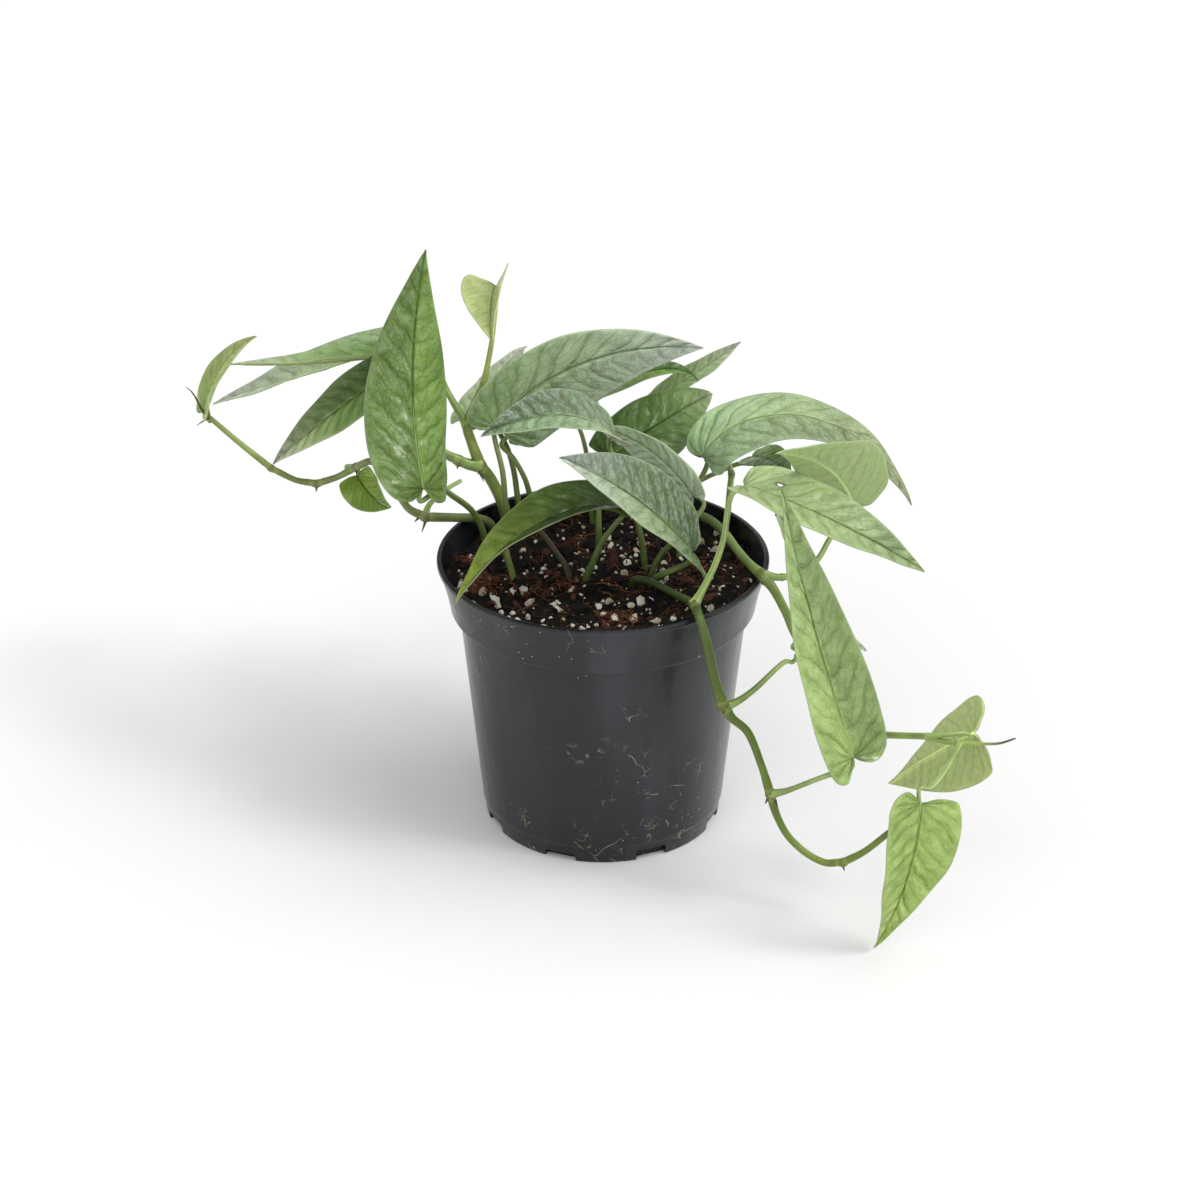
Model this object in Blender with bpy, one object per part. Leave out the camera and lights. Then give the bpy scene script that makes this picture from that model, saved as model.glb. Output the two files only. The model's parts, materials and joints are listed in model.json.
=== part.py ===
"""A cebu blue pothos in its black nursery pot.

The pot stands on its foot ring at the origin, +Z is up, and the plant trails to both sides of it.
Tables are in millimetres and degrees, and the meshes are in metres.
"""
import bpy
import numpy as np
from mathutils import Vector
from mathutils.geometry import delaunay_2d_cdt

MM = 0.001
GAP = 0.3                     # clearance kept between touching pieces

# Nursery pot, turned
POT_HEIGHT = 130.5
RIM_RADIUS = 76.0
RIM_LIP = 1.0                 # the lip stands this far out of the band
RIM_LIP_HEIGHT = 2.0
BAND_FOOT_Z = 106.0           # lower edge of the wide band under the rim
BAND_FOOT_RADIUS = 70.2
WALL_TOP_RADIUS = 66.2
WALL_FOOT_RADIUS = 56.4
FOOT_HEIGHT = 9.0
FOOT_RADIUS = 55.0
WALL = 1.5
FLOOR = 2.5
POT_SIDES = 56
SLOTS = 8                     # drain slots round the foot
SLOT_WIDTH = 15.0
SLOT_HEIGHT = 5.0
SLOT_DEPTH = 7.0              # how far a slot reaches in under the pot
SLOT_TURN = 24.0              # degrees from +X to the first slot
# Inside of the pot: height and radius
POT_INSIDE = (
    (FLOOR, FOOT_RADIUS - 2.0), (FOOT_HEIGHT, WALL_FOOT_RADIUS - WALL),
    (BAND_FOOT_Z + 0.6, WALL_TOP_RADIUS - WALL), (BAND_FOOT_Z + 3.4, BAND_FOOT_RADIUS - WALL + 0.3),
    (POT_HEIGHT, RIM_RADIUS - RIM_LIP - WALL),
)

# Potting mix
SOIL_TOP = 122.0
SOIL_POINT_GAP = 3.7          # least distance between points of the relief
SOIL_TRIES = 9000
SOIL_SEED = 7
GRAIN_SHARE = 0.24            # share of the points that are perlite or bark grains
GRAIN_RISE = (1.2, 2.8)
HOLE_DEPTH = 9.0
ROOT_DEPTH = 7.0
HOLE_CLEARANCE = 0.45
HOLE_SIDES = 8
HOLE_GROWTH = 1.16            # an eight-sided hole is this much wider than the round stem in it
TROUGH = 5.0                  # the soil is kept low this far to each side of a stem
TROUGH_CLEARANCE = 0.8
TROUGH_DEPTH = 3.0

# Blades
BLADE = 0.8
BLADE_ROWS = 9
BLADE_COLUMNS = 2
MIDRIB_STEPS = 40
VEIN_REACH = 0.12             # how far ahead of its root on the midrib a vein meets the margin
VEIN_CURVE = 1.25
SEAT_REACH = 2.5              # a stalk ends this far under the blade, past its notch

# Half the outline of a blade, from the notch round one lobe to the tip:
# share of the half width, and share of the length along the midrib.
HALF_OUTLINE = (
    (0.0, 0.0), (0.18, -0.035), (0.42, -0.06), (0.70, -0.045), (0.90, 0.02), (0.985, 0.12),
    (1.0, 0.25), (0.93, 0.42), (0.76, 0.58), (0.50, 0.745), (0.235, 0.885), (0.0, 1.0),
)

# Each blade: where its stalk meets it, then
# length, width, heading from +X, rise at the base, droop to the tip, how late the droop comes,
# sweep of the heading, roll, twist, fold of the left and of the right half, arch across,
# how much wider the right half is, size of the lobes, how much longer the right lobe is.
BLADES = {
    "leaf_upright_left":
        ((-80.6, 1.9, 163.1), 110, 40, 111, 53, -9, 1.0, -44, -30, 27, 2, 9, 0.6, -0.11, 1.0, 0.1),
    "leaf_far_left_pale":
        ((-87.9, 105.8, 193.1), 103, 35, -173, -15, 3, 1.0, -2, -5, 10, 12, 12, -0.2, 0, 1.0, 0),
    "leaf_far_left_edge":
        ((-92.2, 75.1, 199.2), 81, 27, -170, -6, -11, 1.0, -2, -5, -2, 18, 10, -0.1, 0, 1.0, 0),
    "leaf_left_drooping":
        ((-92.8, 46.2, 203.9), 74, 30, -165, -30, 9, 1.1, 1, 17, 11, 11, 12, 0.2, 0, 1.0, 0),
    "leaf_left_tip_young":
        ((-184.9, 51.9, 178.9), 47, 17, 5, 77, 49, 1.2, -3, -19, -5, 12, 11, 0.1, 0, 1.0, 0),
    "leaf_left_small_heart":
        ((-114.8, 51.4, 146.5), 26, 20, -57, -40, -40, 0.9, 19, -51, -18, 15, 15, -0.1, 0.05, 0.5, 0.2),
    "leaf_top_young":
        ((-48.9, 64.3, 236.4), 45, 28, -96, 6, 39, 1.1, 10, 0, -13, 60, 17, -0.1, 0.06, 1.0, 0.1),
    "leaf_back_left":
        ((-64.2, 71.1, 168.4), 72, 24, 65, 19, 26, 1.1, 5, 26, -9, 7, 10, 0.3, 0, 1.0, 0),
    "leaf_top_large":
        ((-48.5, 48.9, 172.2), 108, 40, 6, 62, 73, 0.7, 5, -80, -8, 14, 12, 0, 0.06, 0.6, -0.3),
    "leaf_centre_silver":
        ((5.0, 13.0, 182.5), 82, 30, -142, 60, 69, 0.6, 2, 18, 16, 16, 17, -0.1, -0.04, 0.3, 0),
    "leaf_centre_under":
        ((-43.8, 59.4, 164.4), 81, 29, 54, 8, 35, 1.0, 7, -17, 0, 12, 12, 0.1, 0, 1.0, 0.3),
    "leaf_centre_back":
        ((40.9, 7.8, 155.8), 59, 21, 145, 48, 53, 1.0, 0, 88, 6, 11, 12, 0.1, 0, 1.0, 0),
    "leaf_front_silver":
        ((40.0, -17.3, 140.4), 101, 39, -145, 54, 22, 0.9, 6, 37, 21, 14, 15, -0.1, 0.05, 1.0, -0.3),
    "leaf_front_drooping":
        ((11.3, -7.5, 154.6), 106, 35, -135, 44, 103, 0.8, -29, 3, -10, 20, 20, -0.1, 0, 1.0, 0),
    "leaf_centre_dark":
        ((2.4, 32.8, 164.8), 81, 35, 36, 17, 30, 1.2, 29, -12, -50, 8, 4, 0.5, 0.01, 0.4, -0.1),
    "leaf_back_slender":
        ((25.1, 105.1, 162.3), 52, 17, 25, 23, 2, 1.0, 10, 6, -23, 9, 9, 0.2, 0, 1.0, 0),
    "leaf_back_edge":
        ((-11.6, 65.9, 177.3), 64, 15, 10, 25, 79, 2.7, 9, -15, -12, 16, 15, 0, 0, 1.0, 0),
    "leaf_right_arching":
        ((45.8, 27.5, 166.4), 122, 41, 11, 78, 142, 0.6, -32, -35, 18, -20, 19, 0.1, 0, 0.4, 0),
    "leaf_right_dark_small":
        ((69.9, 59.8, 152.4), 50, 18, -68, 24, 19, 1.0, -6, -23, -2, 9, 11, 0.1, 0, 1.0, 0),
    "leaf_right_folded":
        ((112.9, -0.9, 154.4), 98, 37, -113, 58, 38, 0.8, -15, -43, 15, 9, 2, -0.2, -0.19, 1.0, 0),
    "leaf_right_light":
        ((61.4, -40.0, 184.2), 90, 31, -32, 4, 40, 0.6, 36, -1, -38, 12, 12, -0.1, -0.02, 0.6, 0),
    "leaf_right_hanging":
        ((108.4, -101.0, 82.4), 123, 37, 133, 63, -11, 1.1, 5, 9, -19, 6, 8, -0.1, 0.06, 1.0, -0.3),
    "leaf_right_hidden":
        ((86.3, -48.2, 106.5), 34, 12, -2, 40, 80, 1.1, -1, -21, -2, 13, 12, 0, 0, 1.0, 0),
    "leaf_right_back_small":
        ((87.9, -14.1, 135.8), 42, 15, 101, 29, 50, 1.0, 1, -31, 11, 17, 13, 0, 0, 1.0, 0),
    "leaf_low_right_heart":
        ((134.9, -135.6, 79.7), 80, 34, -31, -90, 24, 0.9, 13, -49, 20, 12, 11, 0, -0.09, 1.0, 0.5),
    "leaf_far_right_heart":
        ((161.9, -91.7, 89.4), 63, 41, 129, -40, 8, 0.9, 16, -106, -34, 22, 19, 0, 0, 1.0, -0.4),
}

# Each stem or leaf stalk: its runs, each a list of points with the radius there, and the blade
# that the run carries, if any. The first run starts in the soil.
STEMS = {
    "stem_left_tall": (
        (((-44.5, 46.5, 122, 2.8), (-47, 47.5, 134, 2.8), (-52, 49, 145, 2.7), (-57, 50, 152, 2.9),
          (-61, 52, 163, 2.4), (-63, 54, 171, 2.3), (-60, 56, 180, 1.6), (-55, 58, 190, 1.7),
          (-53, 59, 200, 1.3), (-51, 60, 211, 1.2), (-49.5, 62, 223, 1.1)), "leaf_top_young"),
        (((-63, 54, 171, 1.9), (-67.5, 60, 176, 1.7), (-72, 68, 180.5, 1.5), (-76, 80, 183.5, 1.4),
          (-80.5, 92, 186.5, 1.3)),
         "leaf_far_left_pale"),
        (((-57, 50, 152, 2.5), (-62, 49, 153, 2.4), (-67, 47, 156, 2.6), (-73, 46, 160, 2.0),
          (-79, 47, 166, 1.7), (-82, 47, 178, 1.5), (-84, 47, 191, 1.2)), "leaf_left_drooping"),
        (((-79, 47, 166, 1.5), (-81, 56, 178, 1.2), (-83, 67, 190, 1.1)), "leaf_far_left_edge"),
    ),
    "vine_left": (
        (((-51.5, 41.5, 122, 2.2), (-53, 39.5, 127.5, 2.2), (-59, 36, 131.5, 2.1), (-69, 32, 133.8, 2.1),
          (-82, 26, 137, 2.3), (-89, 24, 142, 1.8), (-93, 24, 148, 1.7), (-98, 25, 156, 1.6),
          (-102, 28, 161, 1.6), (-107, 33, 162, 1.6), (-114, 40, 156, 1.9), (-123, 42, 150, 1.5), (-133, 43, 146, 1.8),
          (-143, 44, 147.5, 1.4), (-154, 45, 153, 1.6), (-170, 48, 166, 1.3),
          (-182, 51, 176, 1.2)), "leaf_left_tip_young"),
        (((-118, 41, 154, 1.0), (-119, 47, 153, 0.9)), "leaf_left_small_heart"),
        (((-82, 26, 137, 1.3), (-80, 29, 142, 1.2), (-73, 36, 146, 1.1), (-66, 42, 148, 1.0)), None),
    ),
    "stalk_upright_left": (
        (((-55, 33, 122, 1.6), (-57, 31.5, 131, 1.6), (-61, 28, 140, 1.5), (-68, 20, 150, 1.4),
          (-74, 11, 158, 1.3)), "leaf_upright_left"),
    ),
    "stalk_top_large": (
        (((-45, 39, 122, 1.5), (-45.5, 40.5, 135, 1.5), (-46.5, 43, 152, 1.3)),
         "leaf_top_large"),
    ),
    "stalk_back_left": (
        (((-38.5, 49, 122, 1.4), (-40, 51.5, 135, 1.4), (-42, 56, 148, 1.3), (-46, 63, 158, 1.2),
          (-53, 70, 164, 1.2)),
         "leaf_back_left"),
    ),
    "stalk_centre_under": (
        (((-31, 53, 122, 1.4), (-33.5, 52, 133, 1.4), (-36.5, 51.5, 145, 1.3), (-42, 53, 155, 1.2)),
         "leaf_centre_under"),
    ),
    "stalk_back_edge": (
        (((-5, 54, 122, 1.2), (-6, 56, 135, 1.2), (-7, 58, 150, 1.1), (-10, 62, 163, 1.0)),
         "leaf_back_edge"),
    ),
    "stalk_centre_dark": (
        (((-2, 20, 122, 1.4), (-2, 21, 133, 1.4), (-2, 25, 148, 1.2)), "leaf_centre_dark"),
    ),
    "stalk_back_slender": (
        (((20, 60, 122, 1.3), (20, 67, 137, 1.3), (20, 82, 149, 1.2), (20, 95, 156, 1.1)),
         "leaf_back_slender"),
    ),
    "stalk_front_drooping": (
        (((-8, -9, 122, 1.5), (-5, -9, 130, 1.5), (-0.5, -8.5, 141, 1.3), (4, -8, 147.5, 1.2),
          (8.9, -9.7, 154.6, 1.1)), None),
    ),
    "stalk_centre_silver": (
        (((19, 4, 122, 1.4), (18, 6, 132, 1.4), (15, 8.5, 146, 1.3), (11, 9, 160, 1.2)),
         "leaf_centre_silver"),
    ),
    "stalk_centre_back": (
        (((22, -4, 122, 1.3), (26, -2, 131, 1.3), (35, 2, 139, 1.2), (42, 6, 146, 1.1)),
         "leaf_centre_back"),
    ),
    "stalk_front_silver": (
        (((22, -14, 122, 1.5), (24, -15, 126.5, 1.5), (31, -17, 131, 1.4)), "leaf_front_silver"),
    ),
    "stalk_right_arching": (
        (((35, 16, 122, 1.4), (36.5, 19, 133, 1.4), (40, 23, 147, 1.3)), "leaf_right_arching"),
    ),
    "stalk_right_dark_small": (
        (((30, 58, 122, 1.2), (36, 60, 131, 1.2), (45, 62, 138, 1.1), (55, 63, 143, 1.1),
          (64, 63, 147, 1.1)),
         "leaf_right_dark_small"),
    ),
    "stem_back_right": (
        (((56, 36, 122, 1.6), (58, 40, 131, 1.5), (59, 45, 140, 1.4), (60, 49, 148, 1.5),
          (58, 52, 155, 1.1), (55, 55, 164, 0.6)), None),
    ),
    "stem_runner": (
        (((-36, 40, 122, 1.4), (-34, 37, 128, 1.4), (-28, 25, 128.5, 1.4), (-22, 10, 127.5, 1.4),
          (-17, -3, 126, 1.4), (-15, -9, 121, 1.4)), None),
    ),
    "stem_stub": (
        (((-47, 24, 122, 1.6), (-46.5, 21, 127.5, 1.6), (-44, 6, 127, 1.6), (-41, -4, 121, 1.6)),
         None),
    ),
    "vine_front_right": (
        (((13, -13, 121, 1.8), (15, -16, 126, 1.8), (22, -22, 127.5, 1.7), (30, -33, 128.5, 1.7),
          (37, -49, 132.5, 1.8), (40, -60, 136, 2.4), (42, -68, 133.6, 2.0),
          (45.5, -72.5, 122, 2.2), (49, -75, 106, 2.3), (53, -76.5, 94, 2.8), (57, -78.5, 89, 1.9),
          (64, -81, 83, 1.8), (70, -84, 68, 1.7), (74, -86, 55, 2.2), (77, -87.5, 45, 1.7),
          (82, -90, 36, 1.6), (90, -93, 29, 1.6), (98, -97, 26.5, 1.6), (106, -101, 29, 1.9),
          (115, -106, 38, 1.5), (124, -111, 50, 1.4), (130, -114, 58, 0.8)), None),
        (((40, -60, 136, 1.8), (44, -56, 142, 1.5), (49, -53, 152, 1.4), (53, -49, 164, 1.3),
          (54.5, -44, 175, 1.2)), "leaf_right_light"),
        (((53, -76.5, 94, 1.8), (59, -73, 94.5, 1.5), (67, -66, 97, 1.3), (80, -52, 102.5, 1.1)),
         "leaf_right_hidden"),
        (((74, -86, 55, 1.6), (81, -88, 58, 1.3), (88, -91, 63, 1.2), (98, -100, 73, 1.2)),
         "leaf_right_hanging"),
    ),
    "vine_back_right": (
        (((41, 50, 121, 2.2), (43.5, 46, 128, 2.2), (50, 36, 130.5, 2.1), (56, 21, 131.5, 2.0),
          (61, 0, 133, 2.0), (66, -17, 134.2, 2.0), (71, -28, 134.4, 2.6), (76.5, -33, 129, 2.1),
          (82, -36, 119, 2.0), (85, -38, 112, 2.0), (90, -41, 103, 1.9), (96, -46, 93, 1.9),
          (104, -54, 85, 1.9), (111, -62, 79, 1.8), (118, -69, 77.5, 1.7), (124, -75, 79, 1.6),
          (134, -83, 83, 1.5), (141, -89, 86, 1.5), (148, -92, 85.5, 1.2), (155, -95, 86, 1.4),
          (166, -98, 87.5, 0.7), (172, -100, 89, 0.55), (178, -102, 92.5, 0.4)), None),
        (((71, -28, 134.4, 1.9), (80, -24, 131, 1.5), (89, -20, 131.5, 1.4), (97, -15, 136, 1.3),
          (104, -7, 144, 1.2)), "leaf_right_folded"),
        (((80, -24, 131, 1.2), (85, -22, 131, 1.0)), "leaf_right_back_small"),
        (((141, -89, 86, 1.2), (151, -93, 89.5, 1.0), (157, -92, 89.5, 0.9), (159.4, -90.9, 88.1, 0.8)),
         None),
        (((155, -95, 86, 1.3), (151, -106, 85.5, 1.0), (145, -119, 84, 1.0), (139, -129, 83.5, 1.0)),
         "leaf_low_right_heart"),
    ),
}
STEM_STEP = 7.0               # length of one straight piece of a stem
ELBOW = 2.5                   # a stem turns within this much of a joint
ELBOW_SHARE = 0.4             # and within this share of the way to the next point
STEM_BEVEL = 1                # six sides

# Colours: base colour, roughness
BLACK_PLASTIC = ((0.018, 0.020, 0.023), 0.35)
POTTING_MIX = ((0.045, 0.028, 0.018), 0.95)
STEM_GREEN = ((0.16, 0.26, 0.07), 0.50)
LIME_LEAF = ((0.36, 0.56, 0.20), 0.45)
BLUE_GREEN_LEAF = ((0.25, 0.36, 0.24), 0.40)
DEEP_LEAF = ((0.09, 0.17, 0.04), 0.45)
LIME_BLADES = ("young", "heart", "light", "hanging", "folded")
DEEP_BLADES = ("dark", "under", "edge", "hidden", "back_small")


def clear_scene():
    for obj in list(bpy.data.objects):
        bpy.data.objects.remove(obj, do_unlink=True)


def material(name, look):
    colour, roughness = look
    made = bpy.data.materials.get(name)
    if made:
        return made
    made = bpy.data.materials.new(name)
    made.use_nodes = True
    shader = made.node_tree.nodes["Principled BSDF"]
    shader.inputs["Base Color"].default_value = (*colour, 1.0)
    shader.inputs["Roughness"].default_value = roughness
    return made


def mesh_object(name, points, faces, look):
    """An object from points in millimetres and faces that point outwards."""
    mesh = bpy.data.meshes.new(name)
    mesh.from_pydata([tuple(p) for p in np.asarray(points) * MM], [], faces)
    mesh.update()
    obj = bpy.data.objects.new(name, mesh)
    bpy.context.scene.collection.objects.link(obj)
    mesh.materials.append(material(*look))
    return obj


def smooth_shading(obj, angle=40.0):
    obj.data.shade_smooth()
    obj.data.set_sharp_from_angle(angle=np.radians(angle))


def bake_modifiers(obj):
    """The object's mesh as its modifiers leave it."""
    graph = bpy.context.evaluated_depsgraph_get()
    mesh = bpy.data.meshes.new_from_object(obj.evaluated_get(graph))
    obj.modifiers.clear()
    obj.data = mesh
    return obj


def boolean(obj, operand, operation):
    """Joins or cuts obj by each object in the operand collection, and removes them."""
    modifier = obj.modifiers.new(operation.title(), "BOOLEAN")
    modifier.operation = operation
    modifier.operand_type = "COLLECTION"
    modifier.collection = operand
    modifier.solver = "EXACT"
    bake_modifiers(obj)
    for helper in list(operand.objects):
        bpy.data.objects.remove(helper, do_unlink=True)
    bpy.data.collections.remove(operand)


def toward(here, other):
    """A point of a stem a little way from here to another."""
    reach = ELBOW / np.linalg.norm((other - here)[:3])
    return here + (other - here) * min(ELBOW_SHARE, reach)


def with_elbows(points):
    """The points, with one more to each side of a joint, which is a point thicker than the two
    next to it, so that the stem turns sharply there."""
    points = np.asarray(points, float)
    route = [points[0]]
    for before, here, after in zip(points, points[1:], points[2:]):
        if here[3] > max(before[3], after[3]):
            route += [toward(here, before), here, toward(here, after)]
        else:
            route.append(here)
    return np.array([*route, points[-1]])


def curve_through(points, step):
    """Catmull-Rom curve through the points, cut into pieces of about one step."""
    points = with_elbows(points)
    ends = np.vstack([2 * points[0] - points[1], points, 2 * points[-1] - points[-2]])
    rows = [points[:1]]
    for i in range(len(points) - 1):
        a, b, c, d = ends[i:i + 4]
        pieces = max(1, round(np.linalg.norm((c - b)[:3]) / step))
        t = (np.arange(1, pieces + 1) / pieces)[:, None]
        bend = 2 * a - 5 * b + 4 * c - d
        rows.append(0.5 * (2 * b + (c - a) * t + bend * t**2 + (3 * b - a - 3 * c + d) * t**3))
    return np.vstack(rows)


def half_outline(blade, side, rows):
    """Points of one margin in the flat blade: distance from the midrib, and share along it."""
    width, wider, lobes, longer = blade[2], blade[13], blade[14], blade[15]
    knots = np.asarray(HALF_OUTLINE)
    ends = np.vstack([2 * knots[0] - knots[1], knots, 2 * knots[-1] - knots[-2]])
    t = np.linspace(0, len(knots) - 1, rows + 1)
    i = np.minimum(t.astype(int), len(knots) - 2)
    f = (t - i)[:, None]
    a, b, c, d = ends[i], ends[i + 1], ends[i + 2], ends[i + 3]
    line = 0.5 * (2 * b + (c - a) * f + (2 * a - 5 * b + 4 * c - d) * f**2
                  + (3 * b - a - 3 * c + d) * f**3)
    across = line[:, 0] * width / 2 * (1 + side * wider)
    along = np.where(line[:, 1] < 0, line[:, 1] * lobes * (1 + side * longer), line[:, 1])
    return across, along


def midrib_frames(blade, along):
    """Point, direction, right-hand side and upper normal at each share along the midrib."""
    base, length, heading, rise, droop, late, sweep, roll, twist = (
        blade[0], blade[1], blade[3], blade[4], blade[5], blade[6], blade[7], blade[8], blade[9])
    u = np.linspace(0, 1, MIDRIB_STEPS + 1)
    turn = np.radians(heading + sweep * u)
    climb = np.radians(rise - droop * u**late)
    ahead = np.stack([np.cos(climb) * np.cos(turn), np.cos(climb) * np.sin(turn), np.sin(climb)], -1)
    steps = (ahead[1:] + ahead[:-1]) / 2 * length / MIDRIB_STEPS
    line = np.vstack([np.zeros(3), np.cumsum(steps, 0)]) + np.asarray(base)
    inside = np.clip(along, 0, 1)
    point = np.stack([np.interp(inside, u, line[:, k]) for k in range(3)], -1)
    direction = np.stack([np.interp(inside, u, ahead[:, k]) for k in range(3)], -1)
    direction /= np.linalg.norm(direction, axis=-1, keepdims=True)
    point = point + direction * (np.minimum(along, 0) * length)[..., None]
    here = np.radians(heading + sweep * inside)
    level = np.stack([np.sin(here), -np.cos(here), np.zeros_like(here)], -1)
    upper = np.cross(level, direction)
    tilt = np.radians(roll + twist * inside)[..., None]
    return (point, direction, level * np.cos(tilt) + upper * np.sin(tilt),
            upper * np.cos(tilt) - level * np.sin(tilt))


def blade_point(blade, across, along):
    """Bends the flat blade: the midrib curves, each half folds up, and the sheet arches across."""
    width, fold_left, fold_right, arch = blade[2], blade[10], blade[11], blade[12]
    point, _, side, upper = midrib_frames(blade, along)
    fold = np.radians(np.where(across > 0, fold_right, fold_left))
    lift = np.abs(across) * np.sin(fold) - arch * across**2 / width
    return point + side * (across * np.cos(fold))[..., None] + upper * lift[..., None]


def blade_sheet(blade, rows, columns):
    """The blade as one sheet of triangles: rows of veins from the midrib to each margin."""
    share = np.linspace(0, 1, columns + 1)
    grids = []
    for side in (-1, 1):
        across, along = half_outline(blade, side, rows)
        root = np.clip((along - VEIN_REACH) / (1.03 - VEIN_REACH), 0, 1)
        root[-1] = 0.967
        x = across[:, None] * share * side
        y = root[:, None] + (along - root)[:, None] * share**VEIN_CURVE
        grids.append(blade_point(blade, x, y))
    points = np.concatenate([grid.reshape(-1, 3) for grid in grids])
    kept, where = np.unique(np.round(points, 4), axis=0, return_inverse=True)
    where = where.reshape(2, rows + 1, columns + 1)
    faces = []
    for half in range(2):
        for i in range(rows):
            for j in range(columns):
                a, b = where[half, i, j], where[half, i + 1, j]
                c, d = where[half, i + 1, j + 1], where[half, i, j + 1]
                for face in ((a, b, c), (a, c, d)):
                    if len(set(face)) == 3:
                        faces.append(face if half == 0 else face[::-1])
    return kept, faces


def make_blade(name):
    points, faces = blade_sheet(BLADES[name], BLADE_ROWS, BLADE_COLUMNS)
    if any(word in name for word in LIME_BLADES):
        look = ("lime leaf", LIME_LEAF)
    elif any(word in name for word in DEEP_BLADES):
        look = ("deep green leaf", DEEP_LEAF)
    else:
        look = ("blue-green leaf", BLUE_GREEN_LEAF)
    obj = mesh_object(name, points, [tuple(int(i) for i in face) for face in faces], look)
    solid = obj.modifiers.new("Thickness", "SOLIDIFY")
    solid.thickness = BLADE * MM
    solid.offset = 0.0
    smooth_shading(obj)
    return obj


def stalk_seat(name, radius):
    """The last two points of a stalk: it comes up under the blade's notch and stops below it."""
    blade = BLADES[name]
    along = np.array([0.0, SEAT_REACH / blade[1]])
    point, ahead, _, upper = midrib_frames(blade, along)
    sag = max(0.0, -np.sin(np.radians(min(blade[10], blade[11]))))
    bend = SEAT_REACH * np.linalg.norm(ahead[1] - ahead[0])
    drop = radius * (1 + sag) + BLADE / 2 + GAP + 0.1 + bend
    return (point[0] - ahead[0] * 2 * SEAT_REACH - upper[0] * (drop + SEAT_REACH),
            point[1] - upper[1] * drop)


def stem_tube(name, run, blade):
    points = [list(p) for p in run]
    if blade:
        radius = run[-1][3] * 0.9
        points += [[*seat, radius] for seat in stalk_seat(blade, radius)]
    line = curve_through(points, STEM_STEP)
    curve = bpy.data.curves.new(name, "CURVE")
    curve.dimensions = "3D"
    curve.bevel_depth = MM
    curve.bevel_resolution = STEM_BEVEL
    curve.use_fill_caps = True
    spline = curve.splines.new("POLY")
    spline.points.add(len(line) - 1)
    for point, (x, y, z, radius) in zip(spline.points, line):
        point.co = (x * MM, y * MM, z * MM, 1.0)
        point.radius = radius
    obj = bpy.data.objects.new(name, curve)
    bpy.context.scene.collection.objects.link(obj)
    graph = bpy.context.evaluated_depsgraph_get()
    mesh = bpy.data.meshes.new_from_object(obj.evaluated_get(graph))
    bpy.data.objects.remove(obj, do_unlink=True)
    tube = bpy.data.objects.new(name, mesh)
    bpy.context.scene.collection.objects.link(tube)
    return tube


def rooted(run):
    """The run with its buried end: straight down below its first point."""
    x, y, z, radius = run[0]
    return ((x, y, z - ROOT_DEPTH, radius), *run)


def ends_in_soil(run):
    x, y, z, _ = run[-1]
    return z < SOIL_TOP and np.hypot(x, y) < inner_radius(SOIL_TOP)


def make_stem(name):
    runs = STEMS[name]
    first, blade = runs[0]
    route = rooted(first)
    if ends_in_soil(first):
        x, y, z, radius = first[-1]
        route = (*route, (x, y, z - ROOT_DEPTH, radius))
    stem = stem_tube(name, route, blade)
    if len(runs) > 1:
        branches = bpy.data.collections.new(name + " branches")
        bpy.context.scene.collection.children.link(branches)
        for run, carried in runs[1:]:
            branch = stem_tube(name + " branch", run, carried)
            bpy.context.scene.collection.objects.unlink(branch)
            branches.objects.link(branch)
        boolean(stem, branches, "UNION")
    stem.data.materials.clear()
    stem.data.materials.append(material("stem", STEM_GREEN))
    smooth_shading(stem, 60.0)
    return stem


def turned(name, profile, sides, look):
    """A closed body from an outline of (radius, height) turned round Z, both ends on the axis."""
    turn = np.arange(sides) * 2 * np.pi / sides
    ring = np.stack([np.cos(turn), np.sin(turn)], -1)
    points = [(0, 0, profile[0][1])]
    for radius, z in profile[1:-1]:
        points += [(radius * x, radius * y, z) for x, y in ring]
    points.append((0, 0, profile[-1][1]))
    rows = len(profile) - 2
    faces = []
    for k in range(sides):
        n = (k + 1) % sides
        faces.append((0, 1 + n, 1 + k))
        for row in range(rows - 1):
            a, b = 1 + row * sides, 1 + (row + 1) * sides
            faces.append((a + k, a + n, b + n, b + k))
        top = 1 + (rows - 1) * sides
        faces.append((top + k, top + n, len(points) - 1))
    return mesh_object(name, points, faces, look)


def inner_radius(z):
    """Inside radius of the pot at a height."""
    heights, radii = np.asarray(POT_INSIDE).T
    return float(np.interp(z, heights, radii))


def cutter_box(name, centre, size, turn):
    x, y, z = (value / 2 for value in size)
    corners = [(i * x, j * y, k * z) for i in (-1, 1) for j in (-1, 1) for k in (-1, 1)]
    faces = [(0, 1, 3, 2), (4, 6, 7, 5), (0, 4, 5, 1), (2, 3, 7, 6), (0, 2, 6, 4), (1, 5, 7, 3)]
    c, s = np.cos(turn), np.sin(turn)
    points = [(centre[0] + c * a - s * b, centre[1] + s * a + c * b, centre[2] + d)
              for a, b, d in corners]
    return mesh_object(name, points, faces, ("black plastic", BLACK_PLASTIC))


def upright_prism(name, x, y, low, high, radius, sides):
    turn = np.arange(sides) * 2 * np.pi / sides
    points = [(x + radius * np.cos(a), y + radius * np.sin(a), z) for z in (low, high) for a in turn]
    faces = [tuple(range(sides))[::-1], tuple(range(sides, 2 * sides))]
    faces += [(k, (k + 1) % sides, sides + (k + 1) % sides, sides + k) for k in range(sides)]
    return mesh_object(name, points, faces, ("potting mix", POTTING_MIX))


def into_collection(name, objects):
    group = bpy.data.collections.new(name)
    bpy.context.scene.collection.children.link(group)
    for obj in objects:
        bpy.context.scene.collection.objects.unlink(obj)
        group.objects.link(obj)
    return group


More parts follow.
